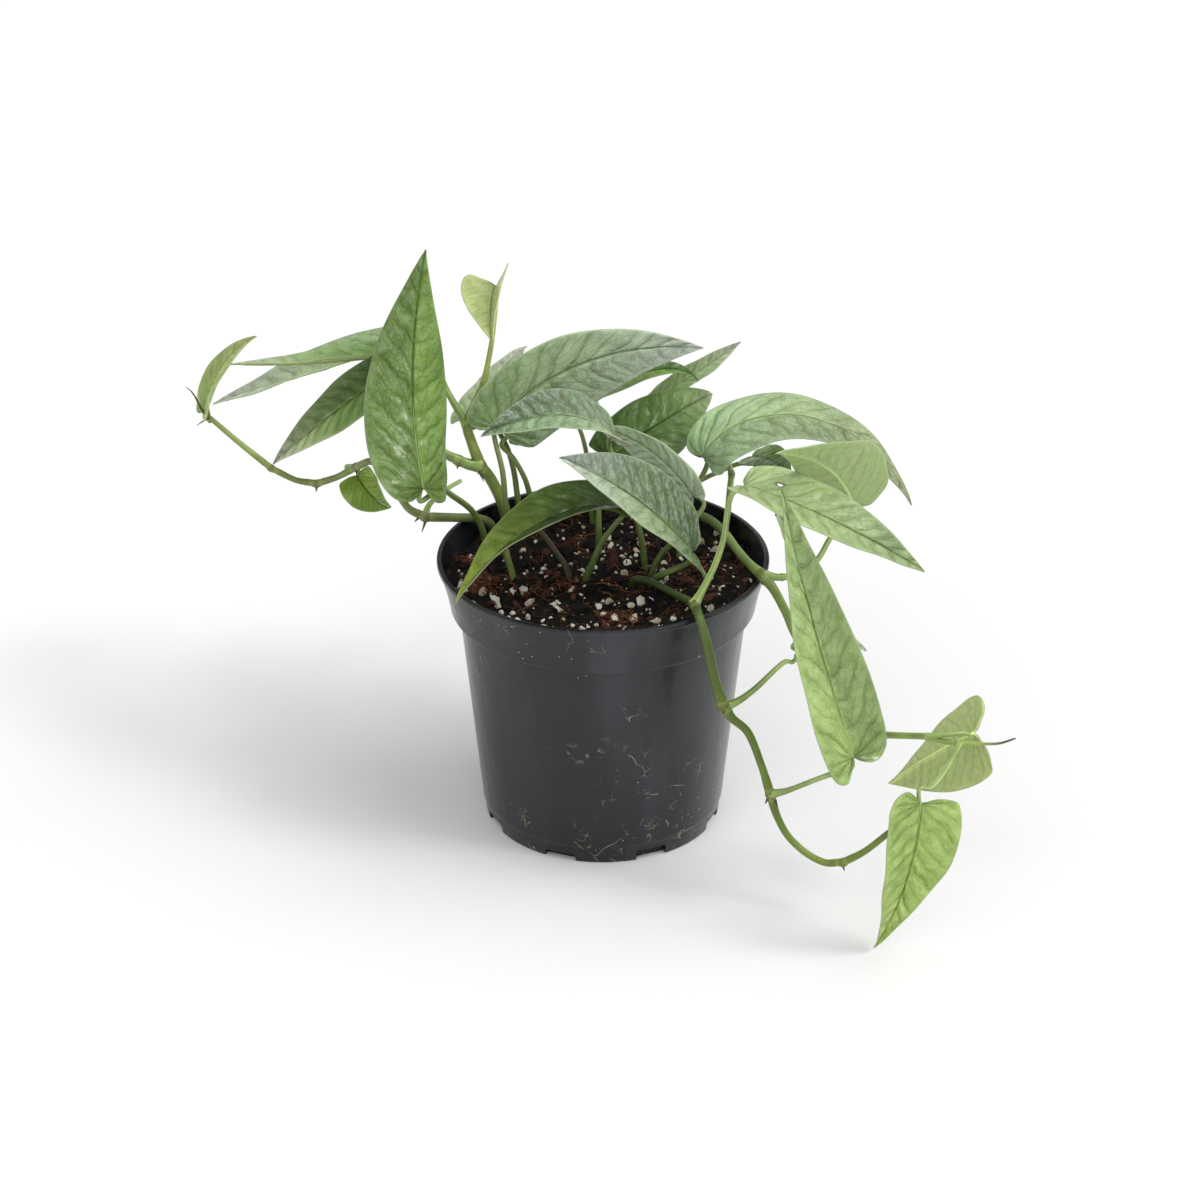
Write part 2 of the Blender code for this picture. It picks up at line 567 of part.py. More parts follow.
def make_pot():
    lip_foot = POT_HEIGHT - RIM_LIP_HEIGHT
    band_top = RIM_RADIUS - RIM_LIP
    outline = (
        (0, 0), (FOOT_RADIUS - 0.6, 0), (FOOT_RADIUS, 0.8), (FOOT_RADIUS + 0.5, FOOT_HEIGHT - 0.8),
        (WALL_FOOT_RADIUS, FOOT_HEIGHT),
        (WALL_TOP_RADIUS, BAND_FOOT_Z), (BAND_FOOT_RADIUS - 0.6, BAND_FOOT_Z + 0.6),
        (BAND_FOOT_RADIUS, BAND_FOOT_Z + 2.2), (band_top, lip_foot - 0.6),
        (RIM_RADIUS, lip_foot), (RIM_RADIUS, POT_HEIGHT - 0.4), (RIM_RADIUS - 0.4, POT_HEIGHT),
        *[(radius, z) for z, radius in reversed(POT_INSIDE)],
        (0, FLOOR),
    )
    pot = turned("pot", outline, POT_SIDES, ("black plastic", BLACK_PLASTIC))
    slots = []
    for k in range(SLOTS):
        turn = np.radians(SLOT_TURN + k * 360 / SLOTS)
        reach = FOOT_RADIUS + 3 - SLOT_DEPTH / 2
        centre = (reach * np.cos(turn), reach * np.sin(turn), SLOT_HEIGHT / 2 - 1)
        slots.append(cutter_box("slot", centre, (SLOT_DEPTH + 6, SLOT_WIDTH, SLOT_HEIGHT + 2), turn))
    boolean(pot, into_collection("slots", slots), "DIFFERENCE")
    smooth_shading(pot, 30.0)
    return pot


def stem_samples():
    """Points along every stem, with the radius there: what the soil has to stay below."""
    rows = [curve_through(run, 2.0) for runs in STEMS.values() for run, _ in runs]
    return np.vstack(rows)


def soil_points(rng):
    """Scattered points of the soil's surface, no two nearer than the point gap allows."""
    edge = inner_radius(SOIL_TOP) - GAP
    chosen = []
    for x, y in rng.uniform(-edge, edge, (SOIL_TRIES, 2)):
        if np.hypot(x, y) > edge - SOIL_POINT_GAP / 2:
            continue
        if all((x - a)**2 + (y - b)**2 > SOIL_POINT_GAP**2 for a, b in chosen):
            chosen.append((x, y))
    return np.array(chosen)


def soil_height(points, rng):
    """Low swells, and a grain on some of the points, cleared from under the stems."""
    x, y = points[:, 0], points[:, 1]
    swell = 0.9 * np.sin(x / 11 + 1) * np.cos(y / 13) + 0.7 * np.sin(x / 5.3 - y / 7.1)
    rise = rng.uniform(*GRAIN_RISE, len(points)) * (rng.random(len(points)) < GRAIN_SHARE)
    height = SOIL_TOP + swell + rise
    for sx, sy, sz, radius in stem_samples():
        near = (x - sx)**2 + (y - sy)**2 < (radius + TROUGH)**2
        clear = max(sz - radius - TROUGH_CLEARANCE, SOIL_TOP - TROUGH_DEPTH)
        height = np.where(near, np.minimum(height, clear), height)
    return height


def make_soil():
    rng = np.random.default_rng(SOIL_SEED)
    inner = soil_points(rng)
    turn = np.arange(POT_SIDES) * 2 * np.pi / POT_SIDES
    ring = np.stack([np.cos(turn), np.sin(turn)], -1)
    rim = ring * (inner_radius(SOIL_TOP) - GAP)
    flat = np.vstack([rim, inner])
    border = [(k, (k + 1) % POT_SIDES) for k in range(POT_SIDES)]
    _, _, triangles, _, _, _ = delaunay_2d_cdt([Vector(p) for p in flat], border, [], 1, 1e-6)
    height = np.concatenate([np.full(POT_SIDES, SOIL_TOP), soil_height(inner, rng)])
    points = [(x, y, z) for (x, y), z in zip(flat, height)]
    faces = [tuple(t) for t in triangles]
    above = 0
    for z, radius in reversed(POT_INSIDE[:-1]):
        low = len(points)
        points += [(x, y, z + GAP) for x, y in ring * (radius - GAP)]
        for k in range(POT_SIDES):
            n = (k + 1) % POT_SIDES
            faces.append((above + k, low + k, low + n, above + n))
        above = low
    faces.append(tuple(range(above, above + POT_SIDES))[::-1])
    soil = mesh_object("soil", points, faces, ("potting mix", POTTING_MIX))
    holes = []
    for runs in STEMS.values():
        run = runs[0][0]
        ends = [run[0]] + ([run[-1]] if ends_in_soil(run) else [])
        for x, y, z, radius in ends:
            holes.append(upright_prism("hole", x, y, z - HOLE_DEPTH, POT_HEIGHT,
                                       radius * HOLE_GROWTH + HOLE_CLEARANCE, HOLE_SIDES))
    boolean(soil, into_collection("soil holes", holes), "DIFFERENCE")
    soil.data.shade_flat()
    return soil


def build():
    clear_scene()
    make_pot()
    make_soil()
    for name in STEMS:
        make_stem(name)
    for name in BLADES:
        make_blade(name)


build()
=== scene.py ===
"""The finished look of a cebu blue pothos in its black nursery pot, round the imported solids.

Tables are in millimetres and degrees, and the meshes are in metres. Every leaf, stem, the pot
and the potting mix is a fine surface that stands for the plain solid of the same name.
"""
import json

import bmesh
import bpy
import numpy as np
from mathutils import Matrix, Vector

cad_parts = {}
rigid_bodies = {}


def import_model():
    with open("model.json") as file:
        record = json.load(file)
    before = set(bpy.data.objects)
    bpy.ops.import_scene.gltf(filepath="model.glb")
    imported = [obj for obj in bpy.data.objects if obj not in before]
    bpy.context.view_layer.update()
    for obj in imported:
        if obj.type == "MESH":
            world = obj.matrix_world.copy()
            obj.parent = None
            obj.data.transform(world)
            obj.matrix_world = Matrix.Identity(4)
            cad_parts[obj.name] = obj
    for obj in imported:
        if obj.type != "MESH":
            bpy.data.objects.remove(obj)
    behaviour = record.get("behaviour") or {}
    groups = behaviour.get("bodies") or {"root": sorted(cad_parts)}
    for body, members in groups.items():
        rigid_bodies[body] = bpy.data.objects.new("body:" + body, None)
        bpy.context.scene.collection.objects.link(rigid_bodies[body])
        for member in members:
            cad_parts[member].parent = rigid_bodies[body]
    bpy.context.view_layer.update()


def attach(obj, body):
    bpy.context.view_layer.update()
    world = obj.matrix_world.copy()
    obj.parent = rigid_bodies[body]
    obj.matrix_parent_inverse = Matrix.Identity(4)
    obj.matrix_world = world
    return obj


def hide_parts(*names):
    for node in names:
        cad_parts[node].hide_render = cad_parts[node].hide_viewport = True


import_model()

MM = 0.001

# Camera, in metres and degrees
LOOK_AT = (-0.0013, 0.0, 0.1073)
CAMERA_RISE = 27.2
CAMERA_DISTANCE = 1.452
LENS = 95.04                  # mm
SENSOR = 36.0                 # mm wide

# Light: the sky's strength, and lamps far off and wide, each with the direction it stands in,
# its spread in degrees and its strength
SKY = 0.51
LAMPS = (
    ("key", (2.1, -0.25, 2.9), 52.0, 1.35),
    ("core", (2.1, -0.75, 2.4), 15.0, 0.70),
    ("fill", (-0.9, -2.4, 2.0), 60.0, 0.82),
)
FLOOR_REACH = 6.0             # metres from the pot to the floor's edges

# Pot
POT_HEIGHT = 130.5
RIM_RADIUS = 76.0
BAND_FOOT_Z = 106.0           # the band under the rim starts at this height
BAND_FOOT_RADIUS = 70.2
WALL_TOP_RADIUS = 66.2
WALL_FOOT_RADIUS = 56.4
FOOT_HEIGHT = 9.0
FOOT_RADIUS = 55.0
FLOOR = 2.5
WALL = 1.5
WALL_STEPS = 14
POT_TURNS = 224
POT_EDGE = 35                 # degrees from which an edge of the pot is sharp
SLOTS = 8
SLOT_TURN = 24.0              # degrees from +X to the first drain slot
SLOT_WIDTH = 15.0
SLOT_HEIGHTS = (5.0, 4.3, 3.6)    # taken in turn
SLOT_ROUNDING = 1.6

# Potting mix
SOIL_TOP = 122.0
SOIL_RADIUS = 71.4
SOIL_RINGS = 120
SOIL_TURNS = 300
SOIL_EDGE = 60                # degrees from which an edge of the mix is sharp
ON_THE_SOIL = 131.0           # a stem's points under this height keep the grains away
PERLITE_GRAINS = 330
BARK_CHIPS = 520
FIBRES = 150                  # loose ones, besides those in tufts
GRAIN_REACH = 69.0            # perlite and fibres stay this near the middle,
BARK_REACH = 70.0             # and bark this near

# Leaves
VEIN_REACH = 0.12             # how far ahead of its root on the midrib a vein meets the margin
VEIN_CURVE = 1.25             # how late it bends forward on its way there
SEAT_REACH = 2.5              # a stalk ends this far under the blade, past its notch
MIDRIB_STEPS = 80
LEAF_THICKNESS = 0.55
LARGE_LEAF = 70.0             # leaves longer than this have the first of two numbers of steps
LEAF_STEPS = ((132, 20), (88, 14))
SIDE_VEINS = 10.0             # side veins to a leaf's length
VEIN_SLOPE = 0.75             # how far a vein leans to the tip as it leaves the midrib
VEIN_BEND = 0.55              # and how much further it leans on its way out
VEIN_FAN = 0.42               # radians from vein to vein in the lobes
HILL_WIDTH = 3.2              # mm from a vein to the full height of the hill beside it
MIDRIB_DIP = 0.35             # mm that the upper face sinks along the midrib

# Stems
ELBOW = 2.5                   # a stem turns within this many mm of a joint,
ELBOW_SHARE = 0.4             # but within this share of the way to the next point
STEM_SIDES = 20
STEM_STEP = 1.6               # mm between a stem's rings
STEM_DEPTH = 6.0              # how far the skin of a stem reaches into the mix
STALK_GROOVE = 0.22           # depth of a stalk's channel as a share of its radius
CAP = (0.0, 0.55, 0.86)       # shares of the radius in the rings that round off the end of a tube
NUB_STEPS = 7                 # rings and sides of an aerial root nub
NUB_SIDES = 8

# Half the outline of a blade, from the notch round one lobe to the tip:
# share of the half width, and share of the length along the midrib.
HALF_OUTLINE = (
    (0.0, 0.0), (0.18, -0.035), (0.42, -0.06), (0.70, -0.045), (0.90, 0.02), (0.985, 0.12),
    (1.0, 0.25), (0.93, 0.42), (0.76, 0.58), (0.50, 0.745), (0.235, 0.885), (0.0, 1.0),
)

# Each blade: where its stalk meets it, then
# length, width, heading from +X, rise at the base, droop to the tip, how late the droop comes,
# sweep of the heading, roll, twist, fold of the left and of the right half, arch across,
# how much wider the right half is, size of the lobes, how much longer the right lobe is.
BLADES = {
    "leaf_upright_left":
        ((-80.6, 1.9, 163.1), 110, 40, 111, 53, -9, 1.0, -44, -30, 27, 2, 9, 0.6, -0.11, 1.0, 0.1),
    "leaf_far_left_pale":
        ((-87.9, 105.8, 193.1), 103, 35, -173, -15, 3, 1.0, -2, -5, 10, 12, 12, -0.2, 0, 1.0, 0),
    "leaf_far_left_edge":
        ((-92.2, 75.1, 199.2), 81, 27, -170, -6, -11, 1.0, -2, -5, -2, 18, 10, -0.1, 0, 1.0, 0),
    "leaf_left_drooping":
        ((-92.8, 46.2, 203.9), 74, 30, -165, -30, 9, 1.1, 1, 17, 11, 11, 12, 0.2, 0, 1.0, 0),
    "leaf_left_tip_young":
        ((-184.9, 51.9, 178.9), 47, 17, 5, 77, 49, 1.2, -3, -19, -5, 12, 11, 0.1, 0, 1.0, 0),
    "leaf_left_small_heart":
        ((-114.8, 51.4, 146.5), 26, 20, -57, -40, -40, 0.9, 19, -51, -18, 15, 15, -0.1, 0.05, 0.5, 0.2),
    "leaf_top_young":
        ((-48.9, 64.3, 236.4), 45, 28, -96, 6, 39, 1.1, 10, 0, -13, 60, 17, -0.1, 0.06, 1.0, 0.1),
    "leaf_back_left":
        ((-64.2, 71.1, 168.4), 72, 24, 65, 19, 26, 1.1, 5, 26, -9, 7, 10, 0.3, 0, 1.0, 0),
    "leaf_top_large":
        ((-48.5, 48.9, 172.2), 108, 40, 6, 62, 73, 0.7, 5, -80, -8, 14, 12, 0, 0.06, 0.6, -0.3),
    "leaf_centre_silver":
        ((5.0, 13.0, 182.5), 82, 30, -142, 60, 69, 0.6, 2, 18, 16, 16, 17, -0.1, -0.04, 0.3, 0),
    "leaf_centre_under":
        ((-43.8, 59.4, 164.4), 81, 29, 54, 8, 35, 1.0, 7, -17, 0, 12, 12, 0.1, 0, 1.0, 0.3),
    "leaf_centre_back":
        ((40.9, 7.8, 155.8), 59, 21, 145, 48, 53, 1.0, 0, 88, 6, 11, 12, 0.1, 0, 1.0, 0),
    "leaf_front_silver":
        ((40.0, -17.3, 140.4), 101, 39, -145, 54, 22, 0.9, 6, 37, 21, 14, 15, -0.1, 0.05, 1.0, -0.3),
    "leaf_front_drooping":
        ((11.3, -7.5, 154.6), 106, 35, -135, 44, 103, 0.8, -29, 3, -10, 20, 20, -0.1, 0, 1.0, 0),
    "leaf_centre_dark":
        ((2.4, 32.8, 164.8), 81, 35, 36, 17, 30, 1.2, 29, -12, -50, 8, 4, 0.5, 0.01, 0.4, -0.1),
    "leaf_back_slender":
        ((25.1, 105.1, 162.3), 52, 17, 25, 23, 2, 1.0, 10, 6, -23, 9, 9, 0.2, 0, 1.0, 0),
    "leaf_back_edge":
        ((-11.6, 65.9, 177.3), 64, 15, 10, 25, 79, 2.7, 9, -15, -12, 16, 15, 0, 0, 1.0, 0),
    "leaf_right_arching":
        ((45.8, 27.5, 166.4), 122, 41, 11, 78, 142, 0.6, -32, -35, 18, -20, 19, 0.1, 0, 0.4, 0),
    "leaf_right_dark_small":
        ((69.9, 59.8, 152.4), 50, 18, -68, 24, 19, 1.0, -6, -23, -2, 9, 11, 0.1, 0, 1.0, 0),
    "leaf_right_folded":
        ((112.9, -0.9, 154.4), 98, 37, -113, 58, 38, 0.8, -15, -43, 15, 9, 2, -0.2, -0.19, 1.0, 0),
    "leaf_right_light":
        ((61.4, -40.0, 184.2), 90, 31, -32, 4, 40, 0.6, 36, -1, -38, 12, 12, -0.1, -0.02, 0.6, 0),
    "leaf_right_hanging":
        ((108.4, -101.0, 82.4), 123, 37, 133, 63, -11, 1.1, 5, 9, -19, 6, 8, -0.1, 0.06, 1.0, -0.3),
    "leaf_right_hidden":
        ((86.3, -48.2, 106.5), 34, 12, -2, 40, 80, 1.1, -1, -21, -2, 13, 12, 0, 0, 1.0, 0),
    "leaf_right_back_small":
        ((87.9, -14.1, 135.8), 42, 15, 101, 29, 50, 1.0, 1, -31, 11, 17, 13, 0, 0, 1.0, 0),
    "leaf_low_right_heart":
        ((134.9, -135.6, 79.7), 80, 34, -31, -90, 24, 0.9, 13, -49, 20, 12, 11, 0, -0.09, 1.0, 0.5),
    "leaf_far_right_heart":
        ((161.9, -91.7, 89.4), 63, 41, 129, -40, 8, 0.9, 16, -106, -34, 22, 19, 0, 0, 1.0, -0.4),
}

# Each stem or leaf stalk: its runs, each a list of points with the radius there, and the blade
# that the run carries, if any. The first run starts in the soil.
STEMS = {
    "stem_left_tall": (
        (((-44.5, 46.5, 122, 2.8), (-47, 47.5, 134, 2.8), (-52, 49, 145, 2.7), (-57, 50, 152, 2.9),
          (-61, 52, 163, 2.4), (-63, 54, 171, 2.3), (-60, 56, 180, 1.6), (-55, 58, 190, 1.7),
          (-53, 59, 200, 1.3), (-51, 60, 211, 1.2), (-49.5, 62, 223, 1.1)), "leaf_top_young"),
        (((-63, 54, 171, 1.9), (-67.5, 60, 176, 1.7), (-72, 68, 180.5, 1.5), (-76, 80, 183.5, 1.4),
          (-80.5, 92, 186.5, 1.3)),
         "leaf_far_left_pale"),
        (((-57, 50, 152, 2.5), (-62, 49, 153, 2.4), (-67, 47, 156, 2.6), (-73, 46, 160, 2.0),
          (-79, 47, 166, 1.7), (-82, 47, 178, 1.5), (-84, 47, 191, 1.2)), "leaf_left_drooping"),
        (((-79, 47, 166, 1.5), (-81, 56, 178, 1.2), (-83, 67, 190, 1.1)), "leaf_far_left_edge"),
    ),
    "vine_left": (
        (((-51.5, 41.5, 122, 2.2), (-53, 39.5, 127.5, 2.2), (-59, 36, 131.5, 2.1), (-69, 32, 133.8, 2.1),
          (-82, 26, 137, 2.3), (-89, 24, 142, 1.8), (-93, 24, 148, 1.7), (-98, 25, 156, 1.6),
          (-102, 28, 161, 1.6), (-107, 33, 162, 1.6), (-114, 40, 156, 1.9), (-123, 42, 150, 1.5),
          (-133, 43, 146, 1.8), (-143, 44, 147.5, 1.4), (-154, 45, 153, 1.6), (-170, 48, 166, 1.3),
          (-182, 51, 176, 1.2)), "leaf_left_tip_young"),
        (((-118, 41, 154, 1.0), (-119, 47, 153, 0.9)), "leaf_left_small_heart"),
        (((-82, 26, 137, 1.3), (-80, 29, 142, 1.2), (-73, 36, 146, 1.1), (-66, 42, 148, 1.0)), None),
    ),
    "stalk_upright_left": (
        (((-55, 33, 122, 1.6), (-57, 31.5, 131, 1.6), (-61, 28, 140, 1.5), (-68, 20, 150, 1.4),
          (-74, 11, 158, 1.3)), "leaf_upright_left"),
    ),
    "stalk_top_large": (
        (((-45, 39, 122, 1.5), (-45.5, 40.5, 135, 1.5), (-46.5, 43, 152, 1.3)),
         "leaf_top_large"),
    ),
    "stalk_back_left": (
        (((-38.5, 49, 122, 1.4), (-40, 51.5, 135, 1.4), (-42, 56, 148, 1.3), (-46, 63, 158, 1.2),
          (-53, 70, 164, 1.2)),
         "leaf_back_left"),
    ),
    "stalk_centre_under": (
        (((-31, 53, 122, 1.4), (-33.5, 52, 133, 1.4), (-36.5, 51.5, 145, 1.3), (-42, 53, 155, 1.2)),
         "leaf_centre_under"),
    ),
    "stalk_back_edge": (
        (((-5, 54, 122, 1.2), (-6, 56, 135, 1.2), (-7, 58, 150, 1.1), (-10, 62, 163, 1.0)),
         "leaf_back_edge"),
    ),
    "stalk_centre_dark": (
        (((-2, 20, 122, 1.4), (-2, 21, 133, 1.4), (-2, 25, 148, 1.2)), "leaf_centre_dark"),
    ),
    "stalk_back_slender": (
        (((20, 60, 122, 1.3), (20, 67, 137, 1.3), (20, 82, 149, 1.2), (20, 95, 156, 1.1)),
         "leaf_back_slender"),
    ),
    "stalk_front_drooping": (
        (((-8, -9, 122, 1.5), (-5, -9, 130, 1.5), (-0.5, -8.5, 141, 1.3), (4, -8, 147.5, 1.2),
          (8.9, -9.7, 154.6, 1.1)), None),
    ),
    "stalk_centre_silver": (
        (((19, 4, 122, 1.4), (18, 6, 132, 1.4), (15, 8.5, 146, 1.3), (11, 9, 160, 1.2)),
         "leaf_centre_silver"),
    ),
    "stalk_centre_back": (
        (((22, -4, 122, 1.3), (26, -2, 131, 1.3), (35, 2, 139, 1.2), (42, 6, 146, 1.1)),
         "leaf_centre_back"),
    ),
    "stalk_front_silver": (
        (((22, -14, 122, 1.5), (24, -15, 126.5, 1.5), (31, -17, 131, 1.4)), "leaf_front_silver"),
    ),
    "stalk_right_arching": (
        (((35, 16, 122, 1.4), (36.5, 19, 133, 1.4), (40, 23, 147, 1.3)), "leaf_right_arching"),
    ),
    "stalk_right_dark_small": (
        (((30, 58, 122, 1.2), (36, 60, 131, 1.2), (45, 62, 138, 1.1), (55, 63, 143, 1.1),
          (64, 63, 147, 1.1)),
         "leaf_right_dark_small"),
    ),
    "stem_back_right": (
        (((56, 36, 122, 1.6), (58, 40, 131, 1.5), (59, 45, 140, 1.4), (60, 49, 148, 1.5),
          (58, 52, 155, 1.1), (55, 55, 164, 0.6)), None),
    ),
    "stem_runner": (
        (((-36, 40, 122, 1.4), (-34, 37, 128, 1.4), (-28, 25, 128.5, 1.4), (-22, 10, 127.5, 1.4),
          (-17, -3, 126, 1.4), (-15, -9, 121, 1.4)), None),
    ),
    "stem_stub": (
        (((-47, 24, 122, 1.6), (-46.5, 21, 127.5, 1.6), (-44, 6, 127, 1.6), (-41, -4, 121, 1.6)),
         None),
    ),
    "vine_front_right": (
        (((13, -13, 121, 1.8), (15, -16, 126, 1.8), (22, -22, 127.5, 1.7), (30, -33, 128.5, 1.7),
          (37, -49, 132.5, 1.8), (40, -60, 136, 2.4), (42, -68, 133.6, 2.0),
          (45.5, -72.5, 122, 2.2), (49, -75, 106, 2.3), (53, -76.5, 94, 2.8), (57, -78.5, 89, 1.9),
          (64, -81, 83, 1.8), (70, -84, 68, 1.7), (74, -86, 55, 2.2), (77, -87.5, 45, 1.7),
          (82, -90, 36, 1.6), (90, -93, 29, 1.6), (98, -97, 26.5, 1.6), (106, -101, 29, 1.9),
          (115, -106, 38, 1.5), (124, -111, 50, 1.4), (130, -114, 58, 0.8)), None),
        (((40, -60, 136, 1.8), (44, -56, 142, 1.5), (49, -53, 152, 1.4), (53, -49, 164, 1.3),
          (54.5, -44, 175, 1.2)), "leaf_right_light"),
        (((53, -76.5, 94, 1.8), (59, -73, 94.5, 1.5), (67, -66, 97, 1.3), (80, -52, 102.5, 1.1)),
         "leaf_right_hidden"),
        (((74, -86, 55, 1.6), (81, -88, 58, 1.3), (88, -91, 63, 1.2), (98, -100, 73, 1.2)),
         "leaf_right_hanging"),
    ),
    "vine_back_right": (
        (((41, 50, 121, 2.2), (43.5, 46, 128, 2.2), (50, 36, 130.5, 2.1), (56, 21, 131.5, 2.0),
          (61, 0, 133, 2.0), (66, -17, 134.2, 2.0), (71, -28, 134.4, 2.6), (76.5, -33, 129, 2.1),
          (82, -36, 119, 2.0), (85, -38, 112, 2.0), (90, -41, 103, 1.9), (96, -46, 93, 1.9),
          (104, -54, 85, 1.9), (111, -62, 79, 1.8), (118, -69, 77.5, 1.7), (124, -75, 79, 1.6),
          (134, -83, 83, 1.5), (141, -89, 86, 1.5), (148, -92, 85.5, 1.2), (155, -95, 86, 1.4),
          (166, -98, 87.5, 0.7), (172, -100, 89, 0.55), (178, -102, 92.5, 0.4)), None),
        (((71, -28, 134.4, 1.9), (80, -24, 131, 1.5), (89, -20, 131.5, 1.4), (97, -15, 136, 1.3),
          (104, -7, 144, 1.2)), "leaf_right_folded"),
        (((80, -24, 131, 1.2), (85, -22, 131, 1.0)), "leaf_right_back_small"),
        (((141, -89, 86, 1.2), (151, -93, 89.5, 1.0), (157, -92, 89.5, 0.9), (159.4, -90.9, 88.1, 0.8)),
         None),
        (((155, -95, 86, 1.3), (151, -106, 85.5, 1.0), (145, -119, 84, 1.0), (139, -129, 83.5, 1.0)),
         "leaf_low_right_heart"),
    ),
}


def rgb(red, green, blue):
    """The linear colour of a display colour given from 0 to 255."""
    shown = np.array([red, green, blue]) / 255
    return np.where(shown <= 0.04045, shown / 12.92, ((shown + 0.055) / 1.055) ** 2.4)


# Leaf looks: display colours at the base, at the tip and of the underside; painted shade, as how much
# darker the left half is, or if it is negative the right half; silver bloom between the veins; depth
# of the quilting and height of the margin's waves in mm.
# These colours also carry painted light and shade: darker for a leaf that stands in shade, lighter for
# one that the lamps reach poorly.
LEAF_LOOKS = {
    "leaf_upright_left": ((118, 150, 66), (112, 144, 62), (120, 142, 92), 0.3, 0.28, 0.34, 0.7),
    "leaf_far_left_pale": ((161, 197, 118), (210, 215, 199), (140, 160, 112), -0.38, 0.6, 0.25, 0.8),
    "leaf_far_left_edge": ((96, 134, 56), (196, 206, 180), (144, 162, 87), 0.0, 0.2, 0.2, 0.5),
    "leaf_left_drooping": ((77, 116, 35), (197, 202, 178), (120, 144, 94), -0.53, 0.12, 0.25, 0.7),
    "leaf_left_tip_young": ((176, 204, 110), (184, 196, 130), (150, 172, 104), 0.3, 0.1, 0.12, 0.3),
    "leaf_left_small_heart": ((146, 175, 68), (136, 169, 76), (120, 140, 92), -0.14, 0.1, 0.15, 0.3),
    "leaf_top_young": ((197, 214, 137), (197, 215, 139), (188, 200, 150), -0.18, 0.1, 0.1, 0.3),
    "leaf_back_left": ((188, 215, 147), (179, 187, 161), (146, 166, 118), -0.21, 0.3, 0.2, 0.6),
    "leaf_top_large": ((139, 168, 106), (220, 228, 216), (120, 142, 96), -0.4, 0.75, 0.3, 0.8),
    "leaf_centre_silver": ((191, 215, 168), (112, 138, 94), (219, 225, 201), -0.53, 0.8, 0.28, 0.7),
    "leaf_centre_under": ((92, 116, 72), (130, 152, 108), (104, 128, 84), 0, 0.3, 0.25, 0.6),
    "leaf_centre_back": ((214, 236, 196), (194, 222, 176), (110, 134, 88), 0.29, 0.6, 0.26, 0.6),
    "leaf_front_silver": ((118, 144, 80), (198, 208, 198), (128, 150, 106), -0.5, 0.85, 0.3, 0.8),
    "leaf_front_drooping": ((34, 54, 14), (161, 178, 61), (96, 118, 50), 0.5, 0.0, 0.4, 1.0),
    "leaf_centre_dark": ((48, 78, 20), (146, 164, 116), (96, 122, 60), -0.03, 0.0, 0.25, 0.7),
    "leaf_back_slender": ((112, 146, 72), (204, 212, 190), (96, 120, 62), 0.29, 0.2, 0.2, 0.5),
    "leaf_back_edge": ((184, 192, 168), (95, 139, 42), (108, 132, 80), 0.45, 0.4, 0.2, 0.5),
    "leaf_right_arching": ((181, 215, 155), (137, 146, 95), (120, 142, 90), -0.27, 0.85, 0.3, 0.9),
    "leaf_right_dark_small": ((128, 166, 60), (120, 172, 62), (80, 104, 40), -0.2, 0.0, 0.15, 0.4),
    "leaf_right_folded": ((140, 164, 104), (150, 170, 112), (162, 184, 120), 0, 0.3, 0.26, 1.0),
    "leaf_right_light": ((181, 203, 139), (142, 161, 108), (140, 164, 104), 0.05, 0.35, 0.3, 0.8),
    "leaf_right_hanging": ((157, 182, 106), (151, 176, 109), (128, 152, 92), -0.33, 0.25, 0.46, 0.7),
    "leaf_right_hidden": ((158, 185, 119), (208, 215, 180), (120, 144, 84), 0.0, 0.3, 0.2, 0.4),
    "leaf_right_back_small": ((160, 187, 109), (163, 187, 119), (140, 160, 100), 0.0, 0.2, 0.2, 0.4),
    "leaf_low_right_heart": ((161, 189, 103), (151, 177, 84), (140, 162, 100), -0.05, 0.1, 0.36, 0.8),
    "leaf_far_right_heart": ((128, 152, 76), (140, 160, 88), (208, 226, 150), -0.22, 0.1, 0.3, 0.6),
}

# Damage: centre across the blade in half widths and along it, and radii in mm
LEAF_HOLES = {
    "leaf_right_light": ((-0.42, 0.16, 0.8, 1.5),),
    "leaf_centre_silver": ((0.62, 0.40, 1.2, 0.6),),
}

# Stem colours at the first and the last point: of each listed stem, of the other stalks and of
# branches, where the darker colours near the soil under the leaves are partly painted shade; and
# the stems whose bare tips are dry
STEM_LOOKS = {
    "stem_left_tall": ((108, 130, 46), (190, 206, 116)),
    "vine_left": ((104, 114, 70), (140, 160, 82)),
    "vine_front_right": ((50, 70, 26), (138, 160, 66)),
    "vine_back_right": ((114, 144, 66), (170, 190, 106)),
    "stem_back_right": ((176, 198, 124), (190, 210, 140)),
    "stem_runner": ((62, 56, 30), (70, 64, 36)),
    "stem_stub": ((88, 106, 38), (96, 112, 42)),
}
BARE_TIPS = ("vine_back_right", "vine_front_right")
STALK_LOOK = ((82, 102, 42), (142, 164, 94))
BRANCH_LOOK = ((142, 168, 92), (168, 190, 120))
DRY_TIP = (112, 106, 92)

